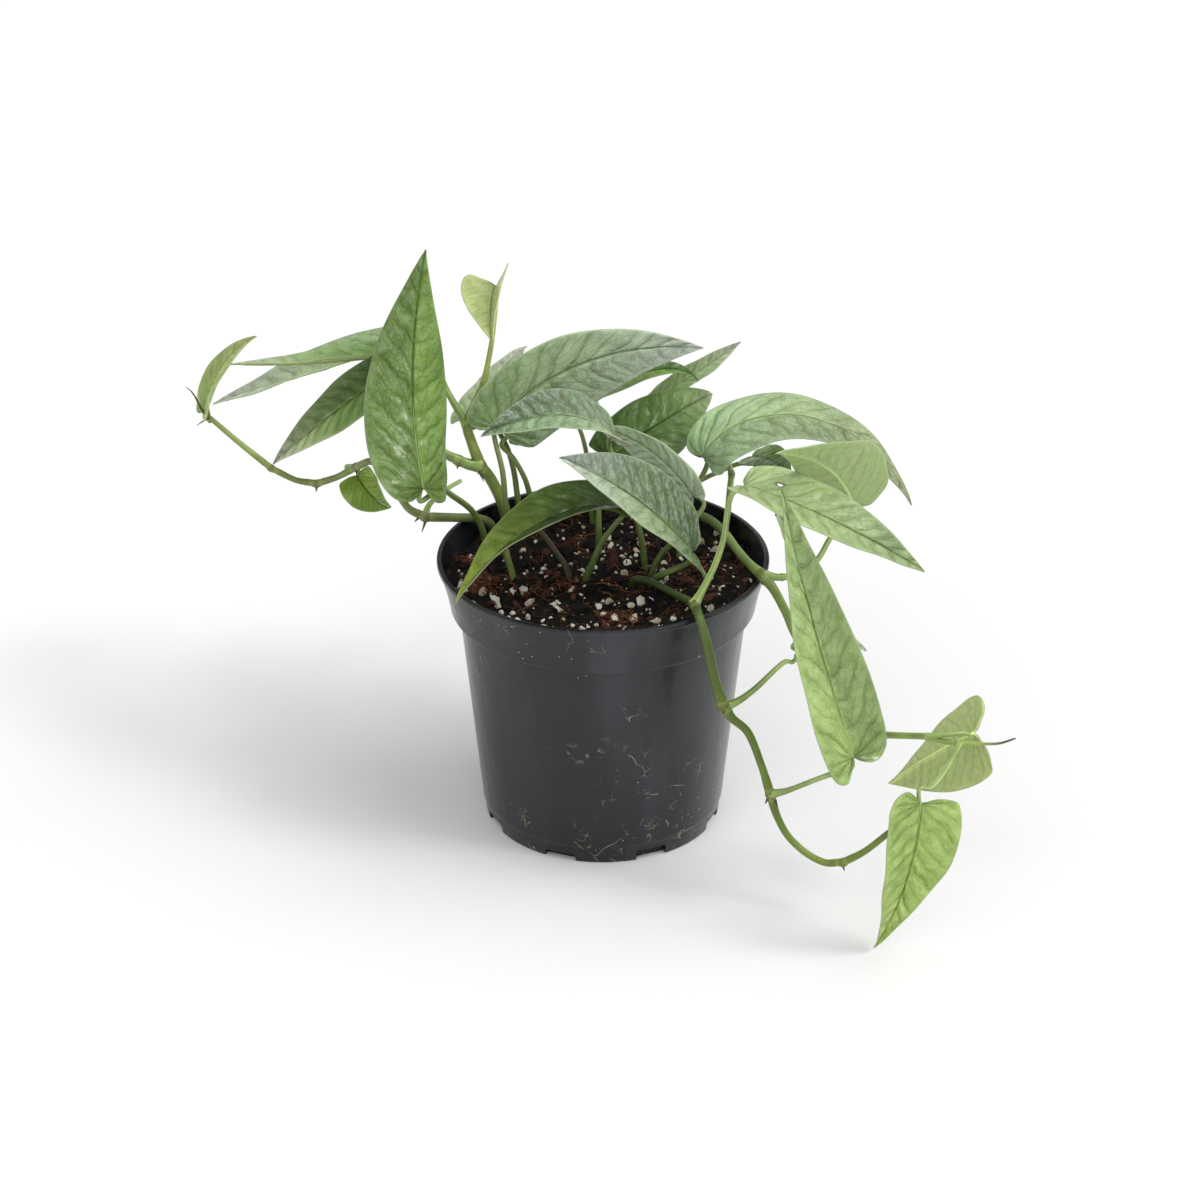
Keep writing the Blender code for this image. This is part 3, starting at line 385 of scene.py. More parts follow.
# Aerial root nubs: where, which way, length and radius
ROOT_NUBS = {
    "vine_front_right": (
        ((73, -87, 54), (-0.5, -0.5, -1), 3, 0.8), ((76, -89, 53.5), (0.3, -0.8, -0.8), 2.7, 0.7),
        ((53, -79, 93), (-0.3, -1, -0.3), 1.8, 0.7), ((106, -102, 27.5), (0.2, -0.2, -1), 2.4, 0.6),
        ((40, -62, 134), (-0.6, -1, -0.2), 1.8, 0.8),
    ),
    "vine_left": (
        ((-82, 25, 135), (-0.3, -0.6, -1), 4.2, 0.8), ((-85, 25, 137), (-0.9, -0.5, -0.8), 3, 0.7),
        ((-133, 42, 144.5), (-0.2, -0.2, -1), 2.4, 0.7), ((-114, 39, 154), (0.2, -0.4, -1), 1.8, 0.6),
        ((-182.5, 50, 176), (-0.68, -0.1, 1), 18, 0.8), ((-182.5, 50, 176), (-1, -0.2, -0.5), 5.4, 0.6),
    ),
    "vine_back_right": (
        ((71, -30, 132.5), (0.1, -0.6, -1), 2.4, 0.8), ((155, -93, 85.5), (0, -0.2, -1), 1.8, 0.5),
    ),
    "stem_left_tall": (
        ((-57, 48, 151), (-0.3, -1, -0.3), 3.6, 0.8), ((-57, 48, 149), (0.3, -1, -0.8), 4.8, 0.7),
        ((-67, 45, 155), (-0.2, -1, -0.5), 3, 0.7),
    ),
}

# The largest perlite grains: place on the soil, and radius
LARGE_PERLITE = (
    (-42, -48, 3.2), (-38, -52, 2.4), (13, -46, 3.6), (5, -47, 2.4), (17, -33, 2.6),
    (-20, -40, 2.3), (-33, -33, 2.4), (-47, -35, 2.0), (-48, -29, 1.9), (-40, -20, 2.0),
    (34, -58, 2.2), (24, -55, 1.9), (48, -38, 2.2), (-9, -56, 1.9), (-26, -56, 2.0),
    (54, -18, 2.0), (-58, -16, 1.7), (-54, -22, 1.8), (30, -22, 1.9), (3, -28, 2.0),
)

# Tufts of reddish coir: place on the soil, width, height and how many threads
COIR_TUFTS = ((-55, -13, 10, 3.0, 80), (8, -46, 8, 2.5, 60), (-60, 6, 7, 2.0, 40),
              (-17, -14, 7, 2.0, 36), (44, 0, 7, 2.0, 36))


def catmull_rom(knots, t):
    """Points at t, counted in knots, on the smooth curve through the knots."""
    knots = np.asarray(knots, float)
    ends = np.vstack([2 * knots[0] - knots[1], knots, 2 * knots[-1] - knots[-2]])
    i = np.clip(t.astype(int), 0, len(knots) - 2)
    f = (t - i)[:, None]
    a, b, c, d = ends[i], ends[i + 1], ends[i + 2], ends[i + 3]
    return 0.5 * (2 * b + (c - a) * f + (2 * a - 5 * b + 4 * c - d) * f**2
                  + (3 * b - a - 3 * c + d) * f**3)


def lattice_noise(x, y, seed):
    """Smooth noise from -1 to 1: random values on a square lattice, eased between its corners."""
    table = np.random.default_rng(seed).uniform(-1, 1, (64, 64))
    i, j = np.floor(x).astype(int), np.floor(y).astype(int)
    u, v = x - i, y - j
    u, v = u * u * (3 - 2 * u), v * v * (3 - 2 * v)
    a, b = table[i % 64, j % 64], table[(i + 1) % 64, j % 64]
    c, d = table[i % 64, (j + 1) % 64], table[(i + 1) % 64, (j + 1) % 64]
    return (a * (1 - u) + b * u) * (1 - v) + (c * (1 - u) + d * u) * v


def unit(vectors):
    """The vectors, each divided by its length."""
    return vectors / np.maximum(np.linalg.norm(vectors, axis=-1, keepdims=True), 1e-12)


def held(rows, count):
    """Rows with the first and the last of them repeated, a count of times at each end."""
    return np.concatenate([rows[:1].repeat(count, 0), rows, rows[-1:].repeat(count, 0)])


def mixed(first, second, share):
    """The first value or colour where share is 0 and the second where it is 1."""
    return first * (1 - share) + second * share


def hold(piece, name, values):
    """Keeps a number or a vector for each point of a piece, for its material."""
    kind, field = ("FLOAT", "value") if values.ndim == 1 else ("FLOAT_VECTOR", "vector")
    layer = piece.data.attributes.new(name, kind, "POINT")
    layer.data.foreach_set(field, values.astype(np.float32).ravel())


def linked(name, data):
    """A new object in the scene."""
    made = bpy.data.objects.new(name, data)
    bpy.context.scene.collection.objects.link(made)
    return made


class Skin:
    """Faces gathered for one piece: points in mm, a tone for each point, a UV for each corner."""

    def __init__(self):
        self.points, self.tones, self.quads, self.uvs, self.slots = [], [], [], [], []
        self.count = 0

    def add(self, points, tones, quads, uvs, slot=0):
        """Quads index the given points; a quad whose corner repeats becomes a triangle. The slot
        is the place of a face's material among the looks that finish is given."""
        self.points.append(points)
        self.tones.append(np.broadcast_to(tones, (len(points), 3)))
        self.quads.append(quads + self.count)
        self.uvs.append(uvs)
        self.slots.append(np.broadcast_to(slot, len(quads)))
        self.count += len(points)

    def finish(self, name, looks, sharp=None, node=None):
        """Makes the piece, which replaces the given node; edges over the angle sharp are sharp."""
        points, tones = np.concatenate(self.points), np.concatenate(self.tones)
        quads, uvs = np.concatenate(self.quads), np.concatenate(self.uvs)
        slots = np.concatenate(self.slots)
        kept = quads != np.roll(quads, 1, axis=1)
        whole = kept.sum(1) > 2
        quads, uvs, slots, kept = quads[whole], uvs[whole], slots[whole], kept[whole]
        loops = quads[kept]
        totals = kept.sum(1)
        mesh = bpy.data.meshes.new(name)
        mesh.vertices.add(len(points))
        mesh.vertices.foreach_set("co", (points * MM).astype(np.float32).ravel())
        mesh.loops.add(len(loops))
        mesh.loops.foreach_set("vertex_index", loops.astype(np.int32))
        mesh.polygons.add(len(quads))
        mesh.polygons.foreach_set("loop_start", (np.cumsum(totals) - totals).astype(np.int32))
        mesh.polygons.foreach_set("material_index", slots.astype(np.int32))
        mesh.update(calc_edges=True)
        layer = mesh.uv_layers.new(name="surface")
        layer.data.foreach_set("uv", uvs[kept].astype(np.float32).ravel())
        tone = mesh.color_attributes.new("tone", "FLOAT_COLOR", "POINT")
        colours = np.ones((len(points), 4), np.float32)
        colours[:, :3] = tones
        tone.data.foreach_set("color", colours.ravel())
        mesh.validate()
        mesh.shade_smooth()
        if sharp:
            mesh.set_sharp_from_angle(angle=np.radians(sharp))
        for look in looks:
            mesh.materials.append(look)
        piece = linked(name, mesh)
        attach(piece, "root")
        if node:
            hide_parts(node)
        return piece


def grid_quads(rows, columns, around=False):
    """Corner indices of a grid's quads, row by row, closed across the columns if around."""
    index = np.arange(rows * columns).reshape(rows, columns)
    right = np.roll(index, -1, axis=1) if around else index[:, 1:]
    left = index if around else index[:, :-1]
    return np.stack([left[:-1], right[:-1], right[1:], left[1:]], -1).reshape(-1, 4)


def turned_quads(rows, sides):
    """A closed grid's quads, with its first row and its last each drawn into one point."""
    quads = grid_quads(rows, sides, True)
    last = (rows - 1) * sides
    return np.where(quads >= last, last, np.where(quads < sides, 0, quads))


def grid_uvs(u, v):
    """The UV of each quad's corners, for a grid whose rows have v and whose columns have u."""
    grid = np.stack(np.meshgrid(u, v), -1)
    corners = [grid[:-1, :-1], grid[:-1, 1:], grid[1:, 1:], grid[1:, :-1]]
    return np.stack(corners, 2).reshape(-1, 4, 2)


def rings(radius, height, turn):
    """Points at a radius and a height, turned round Z."""
    return np.stack(np.broadcast_arrays(radius * np.cos(turn), radius * np.sin(turn), height), -1)


# ---- materials ----

class Flow:
    """A socket's value in shader maths: each operator adds the Math node that it stands for."""

    def __init__(self, look, socket):
        self.look, self.socket = look, socket

    def maths(self, operation, *others):
        """A Math node on this value and the others."""
        values = dict(enumerate((self, *others)))
        return self.look.node("Math", {"operation": operation}, values)

    def __add__(self, other):
        return self.maths("ADD", other)

    def __sub__(self, other):
        return self.maths("SUBTRACT", other)

    def __rsub__(self, other):
        return self.look.node("Math", {"operation": "SUBTRACT"}, {0: other, 1: self})

    def __mul__(self, other):
        return self.maths("MULTIPLY", other)

    __radd__ = __add__
    __rmul__ = __mul__

    def near(self, other):
        """The distance to another value."""
        return (self - other).maths("ABSOLUTE")

    def fraction(self):
        return self.maths("FRACT")

    def above(self, low, high):
        """0 below low and 1 above high, eased between them."""
        return self.look.node("MapRange", {"interpolation_type": "SMOOTHSTEP"},
                              {"Value": self, "From Min": low, "From Max": high})

    def below(self, low, high):
        """1 below low and 0 above high."""
        return 1 - self.above(low, high)


class Look:
    """One material with a Principled surface, whose even sockets get the constants."""

    def __init__(self, name, **constants):
        self.material = bpy.data.materials.new(name)
        self.material.use_nodes = True
        self.tree = self.material.node_tree
        self.surface = self.tree.nodes["Principled BSDF"]
        for socket, value in constants.items():
            self.surface.inputs[socket.replace("_", " ")].default_value = value

    def node(self, kind, settings=None, sockets=None, output=0):
        """Adds a node, sets its settings, then its sockets' values or links."""
        made = self.tree.nodes.new("ShaderNode" + kind)
        for key, value in (settings or {}).items():
            setattr(made, key, value)
        for key, value in (sockets or {}).items():
            if isinstance(value, Flow):
                self.tree.links.new(value.socket, made.inputs[key])
            else:
                made.inputs[key].default_value = value
        return Flow(self, made.outputs[output])

    def place(self):
        """The place on the piece, in metres."""
        return self.node("TexCoord", output=3)

    def uv(self):
        """The piece's own u and v."""
        return self.parts(self.node("UVMap", {"uv_map": "surface"}))[:2]

    def parts(self, vector):
        """The three numbers of a vector."""
        split = self.tree.nodes.new("ShaderNodeSeparateXYZ")
        self.tree.links.new(vector.socket, split.inputs[0])
        return [Flow(self, socket) for socket in split.outputs]

    def value(self, name, output=2):
        """A number that the piece holds for each of its points, or with output 1 a vector."""
        return self.node("Attribute", {"attribute_name": name}, output=output)

    def vector(self, x, y):
        """The vector of two values, with nought for its third number."""
        return self.node("CombineXYZ", None, {0: x, 1: y})

    def tone(self):
        """The colour that the piece holds for each of its points."""
        return self.value("tone", 0)

    def noise(self, scale, detail=3.0, vector=None, roughness=0.55):
        """Clouds from 0 to 1, on the place or on a given vector."""
        return self.node("TexNoise", None, {"Vector": vector or self.place(), "Scale": scale,
                                            "Detail": detail, "Roughness": roughness})

    def cells(self, scale):
        """The distance to the middle of the nearest of many random cells."""
        return self.node("TexVoronoi", None, {"Vector": self.place(), "Scale": scale})

    def cracks(self, scale, vector):
        """The distance to the nearest border between cells."""
        return self.node("TexVoronoi", {"feature": "DISTANCE_TO_EDGE"},
                         {"Vector": vector, "Scale": scale})

    def wobbled(self, scale, amount, vector):
        """The vector pushed about by a noise, so that straight edges bend."""
        push = self.node("TexNoise", None, {"Vector": vector, "Scale": scale, "Detail": 2.0}, 1)
        push = self.node("VectorMath", {"operation": "SUBTRACT"}, {0: push, 1: (0.5, 0.5, 0.5)})
        push = self.gain(push, amount)
        return self.node("VectorMath", {"operation": "ADD"}, {0: vector, 1: push})

    def upright(self, rise):
        """The place with its height scaled, so that a pattern on it is drawn out upwards."""
        return self.node("Mapping", None, {"Vector": self.place(), "Scale": (1.0, 1.0, rise)})

    def gain(self, colour, amount):
        """The colour times a number or a value."""
        return self.node("VectorMath", {"operation": "SCALE"}, {0: colour, "Scale": amount})

    def put(self, socket, flow):
        """Feeds a value or colour to a socket of the surface."""
        self.tree.links.new(flow.socket, self.surface.inputs[socket])

    def paint(self, share, ground, *coats, tone=None):
        """Base colour: a ground of two paints, the first where share is 0 and the second where it
        is 1, then a coat of paint for each further share. A paint is a display colour, or how
        many times as light as the tone it is."""
        colour = self.pigment(ground[0], tone)
        for share, paint in ((share, ground[1]), *coats):
            colour = self.node("Mix", {"data_type": "RGBA"},
                               {0: share, 6: colour, 7: self.pigment(paint, tone)}, 2)
        self.put("Base Color", colour)

    def pigment(self, paint, tone):
        """The colour of one paint."""
        return (*rgb(*paint), 1.0) if isinstance(paint, tuple) else self.gain(tone, paint)

    def relief(self, height, depth_mm, strength=1.0):
        """Bumps the surface's normals by a height from 0 to 1, which stands for so many mm."""
        bump = self.node("Bump", None, {"Height": height, "Strength": strength,
                                        "Distance": depth_mm * MM})
        self.put("Normal", bump)


# Paints
BLOOM = (182, 206, 198)
MARGIN = (178, 190, 150)
HURT = (112, 92, 58)


def leaf_veins(look, line, fade):
    """Masks of the side veins, of the dip beside them, of the small veins between them, of a fine
    net and of the thin margin; the distance from the midrib in mm; and the place on the flat leaf.

    Each point holds the number of side veins passed, the mm from one vein to the next and the
    strength of the nearest vein, and its place on the flat leaf in mm. A side vein is line mm
    wide to each side, and fades out from the share of the half width that fade gives."""
    phase, spacing, strength = look.parts(look.value("veins", 1))
    x, y, _ = look.parts(look.value("flat", 1))
    place = look.vector(x, y)
    bend = look.noise(0.22, 2.0, place) - 0.5
    off = (phase + bend * 0.30).fraction().near(0.5).near(0.5) * spacing
    share = look.uv()[0].near(0.0)
    open_end = share.below(fade, 1.0)
    side = off.below(line * 0.4, line) * open_end * strength
    halo = off.below(0.0, line * 4.5) * open_end * strength
    tilted = look.vector(phase * 1.5 + bend * 1.2, x.near(0.0) * 0.13 + bend * 0.8)
    small = look.cracks(1.0, tilted).below(0.0, 0.07) * share.below(0.8, 1.0)
    net = look.cracks(0.55, place).below(0.0, 0.10)
    return side, halo, small, net, share.above(0.962, 0.995), x.near(0.0), place


def leaf_upper():
    """Quilted upper face: dark sunken veins, and a silver bloom on the hills between them."""
    look = Look("leaf upper face", Roughness=0.42, Specular_IOR_Level=0.2, Coat_Roughness=0.2)
    side, halo, small, net, margin, rib, place = leaf_veins(look, 0.62, 0.72)
    cloud = look.noise(0.12, 4.0, place)
    mottle = look.noise(0.42, 4.0, place)
    grain = look.noise(2.6, 3.0, place)
    hill = (1 - halo) * (1 - small)
    bloom = look.value("bloom")
    look.paint(cloud.above(0.35, 0.68), (0.84, 1.14),
               (bloom * hill * mottle.above(0.40, 0.62) * 0.40, BLOOM),
               (halo * 0.52, 0.68),
               (side * 0.40 + small * 0.18 + net * 0.08, 0.44),
               (rib.below(0.5, 1.8) * 0.30, 1.16),
               (rib.below(0.18, 0.62) * 0.62, 0.50),
               (margin * 0.45, MARGIN), (look.value("hurt"), HURT), tone=look.tone())
    look.put("Roughness", 0.27 + mottle * 0.16 + grain * 0.07)
    look.put("Coat Weight", cloud.above(0.40, 0.60) * hill * (0.85 - bloom * 0.6))
    height = (1 - halo) * 0.65 - small * 0.22 + mottle * 0.38 + grain * 0.06
    look.relief(height - side * 0.2 - net * 0.08 - rib.below(0.1, 0.9) * 0.5, 0.7)
    return look.material


def leaf_under():
    """Matt paler lower face, with raised veins."""
    look = Look("leaf lower face", Roughness=0.55, Specular_IOR_Level=0.2)
    side, halo, small, net, margin, rib, place = leaf_veins(look, 0.7, 0.8)
    mottle = look.noise(0.3, 4.0, place)
    look.paint(mottle.above(0.3, 0.7), (0.90, 1.10),
               (halo * 0.30, 0.82),
               (side * 0.30 + small * 0.16 + net * 0.10, 0.62),
               (rib.below(0.5, 1.2) * 0.5, 1.25),
               (margin * 0.4, MARGIN), (look.value("hurt"), HURT), tone=look.tone())
    look.put("Roughness", 0.48 + mottle * 0.14)
    look.relief(halo * 0.3 + side * 0.4 + small * 0.2 + mottle * 0.2, 0.4)
    return look.material


def stem_skin():
    """Firm green stem: a channel with pale edges along its upper side where it is a leaf stalk,
    faint lengthwise ribs, painted shade on the underside and painted light on the upper side,
    pale flecks and brown scuffs."""
    look = Look("stem", Roughness=0.36, Specular_IOR_Level=0.4)
    u, v = look.uv()
    top, foot = u.near(0.25), u.near(0.75)
    ribs = (u * 11.0).fraction().near(0.5)
    channel = look.value("channel")
    groove = top.below(0.02, 0.065) * channel
    patch = look.noise(70.0, 4.0)
    streak = look.noise(300.0, 3.0, look.vector(u * 0.09, v * 0.004))
    scuff = look.noise(260.0, 3.0).above(0.68, 0.75)
    look.paint(patch.above(0.35, 0.68), (0.74, 1.20),
               (streak.above(0.5, 0.7) * 0.40, 0.60),
               (ribs.above(0.3, 0.5) * 0.15, 0.7),
               # Painted shade darkens the underside, and painted light brightens the upper side
               (foot.below(0.04, 0.26) * 0.45, 0.48),
               (top.below(0.02, 0.20) * 0.25, 1.35),
               (groove * 0.45, 0.5),
               (top.near(0.105).below(0.0, 0.035) * channel * 0.55, (190, 206, 132)),
               (look.cells(700.0).below(0.08, 0.22) * 0.22, (190, 196, 160)),
               (scuff * 0.4, (108, 92, 56)),
               (look.value("pale") * 0.55, (178, 196, 118)),
               (look.value("brown") * (0.40 + patch * 0.5), (104, 88, 50)), tone=look.tone())
    look.put("Roughness", 0.30 + patch * 0.16)
    look.relief(ribs * 0.4 + patch * 0.5 + scuff * 0.3 - groove * 0.8, 0.22)
    return look.material


def pot_plastic():
    """Thin black moulded plastic: soft sheen, pale upright streaks that are painted reflection with
    a little dull film in them, dust specks, fine scratches, a scuffed patch and dried brown
    splashes near the foot."""
    look = Look("black pot plastic", Roughness=0.3, Specular_IOR_Level=0.45)
    turn, rise = look.uv()
    cloud = look.noise(22.0, 4.0)
    fine = look.noise(420.0, 3.0)
    upright = look.noise(24.0, 3.0, look.wobbled(40.0, 0.012, look.upright(0.10)))
    film = look.noise(8.0, 5.0, look.upright(0.45)).above(0.50, 0.80)
    bent_place = look.wobbled(70.0, 0.012, look.place())
    arcs = look.cracks(48.0, bent_place).below(0.001, 0.008)
    arcs = arcs * look.noise(60.0).above(0.57, 0.62) * look.noise(11.0, 2.0).above(0.44, 0.52)
    hairs = look.cracks(120.0, bent_place).below(0.002, 0.012)
    hairs = hairs * look.noise(90.0).above(0.57, 0.62) * look.noise(14.0, 2.0).above(0.48, 0.58)
    patch = ((turn - 0.742).near(0.0) * 9.0 + (rise - 0.47).near(0.0) * 6.0).below(0.15, 0.6)
    scuff = patch * look.noise(170.0, 4.0).above(0.55, 0.66)
    specks = look.cells(230.0).below(0.04, 0.10) * look.noise(16.0, 2.0).above(0.50, 0.62)
    splashes = look.cracks(95.0, look.wobbled(90.0, 0.02, look.place())).below(0.004, 0.03)
    splashes = splashes * rise.below(0.08, 0.22) * look.noise(75.0).above(0.55, 0.62)
    look.paint(cloud, ((13, 14, 16), (22, 23, 26)),
               # Painted reflection: pale blue-grey upright streaks, with a little dull film
               (upright.above(0.42, 0.66) * 0.14 + film * 0.06, (104, 108, 118)),
               (splashes * 0.7, (150, 136, 106)),
               (scuff * 0.6, (140, 144, 148)),
               (arcs * 0.7 + hairs * 0.7, (176, 178, 176)),
               (specks * 0.7, (190, 190, 184)))
    look.put("Roughness", 0.16 + cloud * 0.10 + film * 0.10 + fine * 0.04 + scuff * 0.2)
    look.relief(fine * 0.15 + upright * 3.0 + cloud * 2.0 + arcs * 0.3, 0.45, 0.8)
    return look.material


def potting_mix():
    """Damp peat: nearly black crumb with reddish-brown fibre showing through."""
    look = Look("potting mix", Roughness=0.9, Specular_IOR_Level=0.25)
    coarse = look.noise(160.0, 5.0)
    fine = look.noise(900.0, 5.0, roughness=0.7)
    crumbs = look.cells(520.0)
    look.paint(coarse.above(0.51, 0.64), ((16, 13, 10), (84, 50, 32)),
               (fine.above(0.60, 0.74) * 0.5, (116, 78, 50)),
               (crumbs.above(0.30, 0.55) * 0.8, (12, 10, 8)))
    look.put("Roughness", 0.72 + fine * 0.25)
    look.relief(coarse * 0.6 + fine * 0.5 + crumbs * 0.3, 1.4)
    return look.material


def grain_skin(name, roughness, mark, strength, depth):
    """A grain's own tone with pits; mark is the colour of the dirt on it."""
    look = Look(name, Roughness=roughness, Specular_IOR_Level=0.3)
    pits = look.cells(900.0).below(0.10, 0.40)
    cloud = look.noise(500.0, 4.0)
    look.paint(cloud.above(0.5, 0.75) * strength, (1.0, mark), (pits * strength, 0.7),
               tone=look.tone())
    look.put("Roughness", roughness - 0.1 + cloud * 0.2)
    look.relief(cloud * 0.6 + (1 - pits) * 0.5, depth)
    return look.material


def floor_white():
    """White paper, hardly mottled."""
    look = Look("white floor", Roughness=0.8, Specular_IOR_Level=0.1)
    look.paint(look.noise(30.0, 2.0) * 0.02, ((243, 243, 243), (240, 240, 240)))
    return look.material


# ---- leaves ----

def blade_margin(blade, side, t):
    """One margin of the flat blade at t, counted in outline knots: distance from the midrib in
    mm, and share of the length."""
    width, (wider, lobes, longer) = blade[2], blade[13:16]
    line = catmull_rom(HALF_OUTLINE, t)
    across = line[:, 0] * width / 2 * (1 + side * wider)
    along = np.where(line[:, 1] < 0, line[:, 1] * lobes * (1 + side * longer), line[:, 1])
    return across, along


def midrib_frames(blade, along):
    """Point, direction, right-hand side and upper normal at each share along the midrib: the
    heading and the climb change along it, and the point sums up the steps."""
    base, length, _, heading, rise, droop, late, sweep, roll, twist = blade[:10]
    u = np.linspace(0, 1, MIDRIB_STEPS + 1)
    turn = np.radians(heading + sweep * u)
    climb = np.radians(rise - droop * u**late)
    ahead = np.stack([np.cos(climb) * np.cos(turn), np.cos(climb) * np.sin(turn), np.sin(climb)], -1)
    steps = (ahead[1:] + ahead[:-1]) / 2 * length / MIDRIB_STEPS
    line = np.vstack([np.zeros(3), np.cumsum(steps, 0)]) + np.asarray(base)
    inside = np.clip(along, 0, 1)
    point = np.stack([np.interp(inside, u, line[:, k]) for k in range(3)], -1)
    direction = unit(np.stack([np.interp(inside, u, ahead[:, k]) for k in range(3)], -1))
    point = point + direction * (np.minimum(along, 0) * length)[..., None]
    here = np.radians(heading + sweep * inside)
    level = np.stack([np.sin(here), -np.cos(here), np.zeros_like(here)], -1)
    upper = np.cross(level, direction)
    tilt = np.radians(roll + twist * inside)[..., None]
    return (point, direction, level * np.cos(tilt) + upper * np.sin(tilt),
            upper * np.cos(tilt) - level * np.sin(tilt))


def bent(blade, across, along):
    """The flat blade bent: it follows the midrib, each half folds up, and it arches across."""
    width, (fold_left, fold_right, arch) = blade[2], blade[10:13]
    point, _, side, upper = midrib_frames(blade, along)
    fold = np.radians(np.where(across > 0, fold_right, fold_left))
    lift = np.abs(across) * np.sin(fold) - arch * across**2 / width
    return point + side * (across * np.cos(fold))[..., None] + upper * lift[..., None], upper


def side_veins(blade, x, y, seed, depth):
    """How many side veins lie between a place and the base, counted along the leaf, the mm from
    one to the next, and the strength of the nearest.

    A vein leaves the midrib and bends towards the tip, so the count is (Y - a|X| - b X^2 / W) / d.
    In the lobes, where that is below nought, the veins fan out from the base by angle."""
    spacing = blade[1] / SIDE_VEINS
    ahead = y * blade[1] - VEIN_BEND * x**2 / blade[2]
    count = (ahead - VEIN_SLOPE * np.abs(x)) / spacing
    fan = (np.arctan(1 / VEIN_SLOPE) - np.arctan2(np.abs(x), ahead)) / VEIN_FAN
    apart = np.where(count < 0, np.maximum(np.hypot(x, ahead) * VEIN_FAN, 0.4), spacing)
    count = np.where(count < 0, fan, count)
    wander = 0.22 * lattice_noise(x / 8 + 3, y * blade[1] / 8 + 3, seed + 5)
    count = count + (0.24 * np.clip(x / 3, -1, 1) + wander) * np.clip(np.abs(x) / 4, 0, 1)
    rng = np.random.default_rng(seed + 6)
    strengths = rng.uniform(0.45, 1.0, 64) * depth
    nearest = np.round(count).astype(int)
    return count, apart, strengths[(nearest + 31 * (x > 0)) % 64]


def leaf_half(blade, side, rows, columns, looks, seed):
    """One half of a leaf: rows run outwards from the midrib to the margin. The surface swells
    into hills between the side veins, dips along the midrib, and waves along the margin."""
    base_look, tip_look, _, half, _, quilt, wave = looks
    knots = len(HALF_OUTLINE) - 1
    t = np.linspace(0, knots, rows + 1)
    share = np.linspace(0, 1, columns + 1)
    across, along = blade_margin(blade, side, t)
    root = np.clip((along - VEIN_REACH) / (1.03 - VEIN_REACH), 0, 1)
    root[-1] = 0.967
    x = across[:, None] * share * side
    y = root[:, None] + (along - root)[:, None] * share**VEIN_CURVE
    points, upper = bent(blade, x, y)
    down, out = np.gradient(points, axis=0), np.gradient(points, axis=1)
    normal = np.cross(down, out)
    flat = np.linalg.norm(normal, axis=-1, keepdims=True) < 1e-6
    normal = unit(np.where(flat, upper, normal))
    normal *= np.where((normal * upper).sum(-1, keepdims=True) < 0, -1, 1)
    count, apart, strength = side_veins(blade, x, y, seed, min(1.0, 3.6 * quilt))
    gap = np.abs(count - np.round(count)) * apart
    reach = np.clip(share / 0.08, 0, 1) * np.clip((1 - share) / 0.16, 0, 1) ** 0.7
    hills = np.clip(gap / HILL_WIDTH, 0, 1) ** 0.8 * (0.6 + 0.4 * strength)
    small = lattice_noise(count * 2.1 + 7, np.abs(x) / 4.2 + 7, seed + 3)
    ripple = lattice_noise(x / 11 + 9, y * blade[1] / 11, seed + 4)
    lift = quilt * (1.5 * hills + 0.75 * small + 0.6 * ripple - 0.7) * reach
    lift = lift - MIDRIB_DIP * np.exp(-(x / 1.1) ** 2)
    phase = np.random.default_rng(seed).uniform(0, 6.28)
    sway = np.sin(t * 1.35 + phase)[:, None] * 0.7 + np.sin(t * 3.1 + 2 * phase)[:, None] * 0.4
    lift = lift + wave * sway * share**2.2 * np.clip((knots - t) / 2, 0, 1)[:, None]
    tip = np.clip(y, 0, 1)[..., None]
    tone = rgb(*base_look) ** (1 - tip) * rgb(*tip_look) ** tip
    # Painted shade: one half of the blade is darker, growing from the midrib outwards
    if half * side < 0:
        tone = tone * (1 - abs(half) * np.clip(share * 8, 0, 1))[None, :, None]
    tone = tone * (1 + 0.08 * lattice_noise(x / 14 + 5, y * blade[1] / 14, seed + 8))[..., None]
    veins = np.stack([count, apart, strength], -1)
    place = np.stack([x, y * blade[1], np.zeros_like(x)], -1)
    sheets = (points + normal * lift[..., None], normal, tone, veins, place)
    return [sheet.reshape(-1, 3) for sheet in sheets], grid_uvs(share * side, t / knots)


